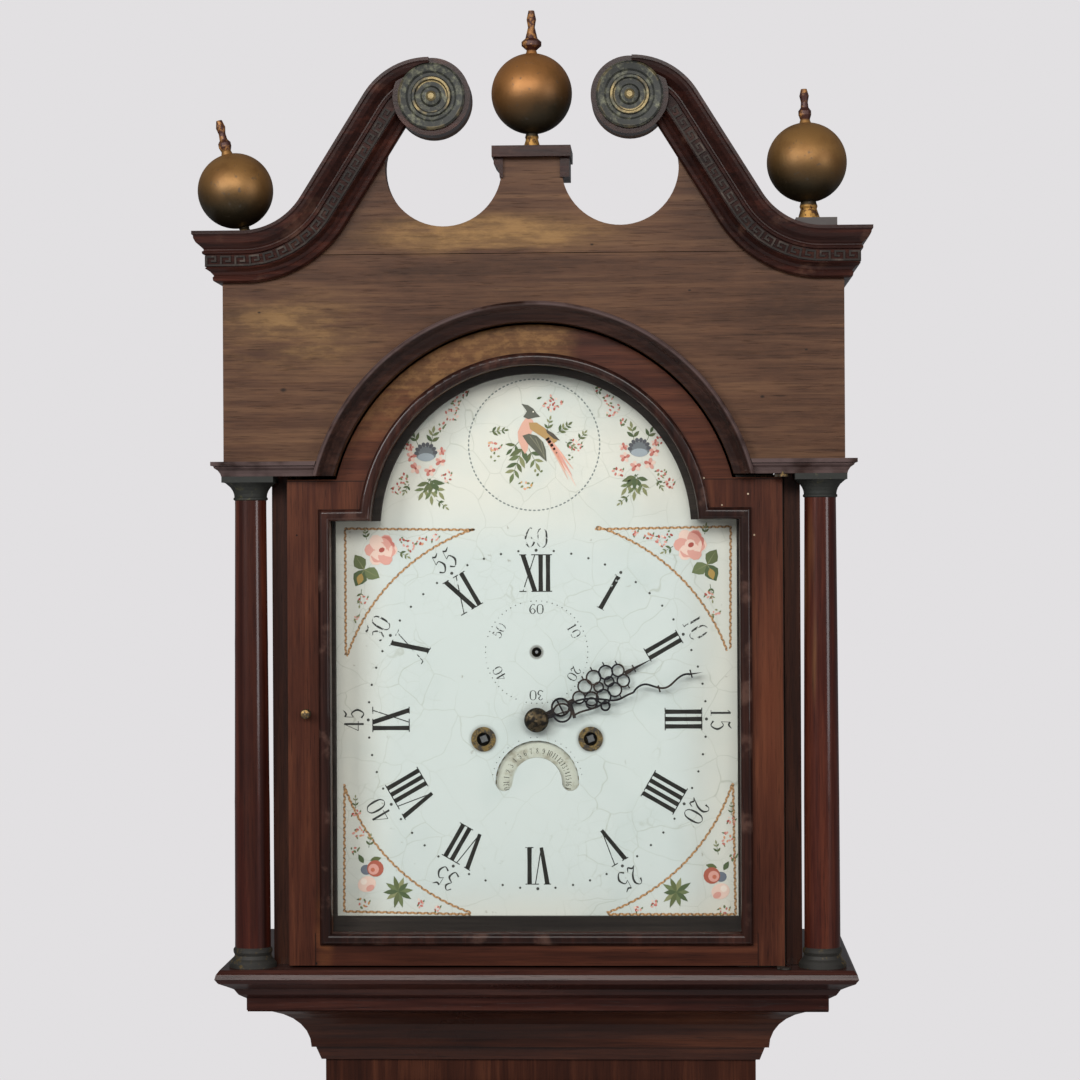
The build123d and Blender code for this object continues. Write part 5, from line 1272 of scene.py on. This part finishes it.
# Pendulum, weights and their lines.
# A flat steel rod with a brass-faced bob and its nut, two cast-iron weights under brass
# pulleys, and gut lines that are wound on the barrels.

dress(steel_finish("rod_steel", tint(70, 68, 66), tint(118, 114, 108), 0.4, 60.0, 3.0),
      "pendulum_rod")

finish = Finish("bob_brass")
cloud = finish.noise(18.0, 5.0, None, 0.6, 4.0)
fine = finish.noise(200.0, 3.0, None, 0.6, 6.0)
spot = finish.step(cloud * 0.6 + fine * 0.4, 0.50, 0.62)
colour = finish.mix(tint(186, 148, 80), tint(104, 76, 42), spot * 0.75)
rear = finish.step(finish.y, 0.0675, 0.0690)
colour = finish.mix(colour, tint(62, 60, 60), rear)
finish.bump(fine, 0.0002, 0.4)
dress(finish.set(Base_Color=colour, Metallic=0.97 - rear * 0.5,
                 Roughness=0.3 + spot * 0.2 + rear * 0.25), "pendulum_bob")
dress(clock_brass("nut_brass", None, 0.0, 9.0), "rating_nut", "pulley_going", "pulley_strike")

finish = Finish("weight_iron")
rough = finish.noise(110.0, 5.0, None, 0.65, 3.0)
cloud = finish.noise(22.0, 4.0, None, 0.6, 7.0)
rust = finish.step(cloud * 0.5 + rough * 0.5, 0.48, 0.64)
colour = finish.mix(tint(44, 42, 42), tint(88, 62, 48), rust)
finish.bump(rough, 0.0012, 0.7)
dress(finish.set(Base_Color=colour, Metallic=0.4 - rough * 0.2, Roughness=0.6 + rough * 0.2),
      "weight_going", "weight_strike")

dress(worn_metal("hinge_brass", tint(146, 114, 62), tint(52, 42, 30), 0.5, 70.0, 0.36, 9.0),
      "trunk_hinges", "trunk_door_brass")

finish = Finish("gut_line")
fibre = finish.noise(900.0, 3.0, (1, 1, 0.4), 0.6, 1.0)
cloud = finish.noise(40.0, 3.0, None, 0.6, 2.0)
colour = finish.mix(tint(148, 112, 62), tint(196, 164, 104), fibre * 0.7 + cloud * 0.3)
finish.bump(fibre, 0.0002, 0.5)
gut = finish.set(Base_Color=colour, Roughness=0.4 + cloud * 0.15)
dress(gut, "gut_uppers", "gut_going", "gut_strike")

TURNS, STEPS, SIDES = 8, 40, 6
LINE_R, BARREL_R, TURN_PITCH, FIRST_TURN_Y = 0.0008, 0.0258, 0.0018, 0.0145
TURN_R = BARREL_R + 0.0001
for word, middle in (("going", ARBOR_X), ("strike", -ARBOR_X)):
    points, faces = [], []
    total = TURNS * STEPS
    for index in range(total + 1):
        angle = 2 * math.pi * index / STEPS
        depth = FIRST_TURN_Y + TURN_PITCH * index / STEPS
        for side in range(SIDES):
            about = 2 * math.pi * side / SIDES
            reach = TURN_R + LINE_R * math.cos(about)
            points.append((middle + reach * math.sin(angle), depth + LINE_R * math.sin(about),
                           ARBOR_Z + reach * math.cos(angle)))
    for index in range(total):
        for side in range(SIDES):
            a, b = index * SIDES + side, index * SIDES + (side + 1) % SIDES
            faces.append((a, b, b + SIDES, a + SIDES))
    faces.append(tuple(range(SIDES)))
    faces.append(tuple(range(total * SIDES + SIDES - 1, total * SIDES - 1, -1)))
    solid_piece("gut_turns_" + word, points, faces, gut, "barrel_" + word, smooth=True)
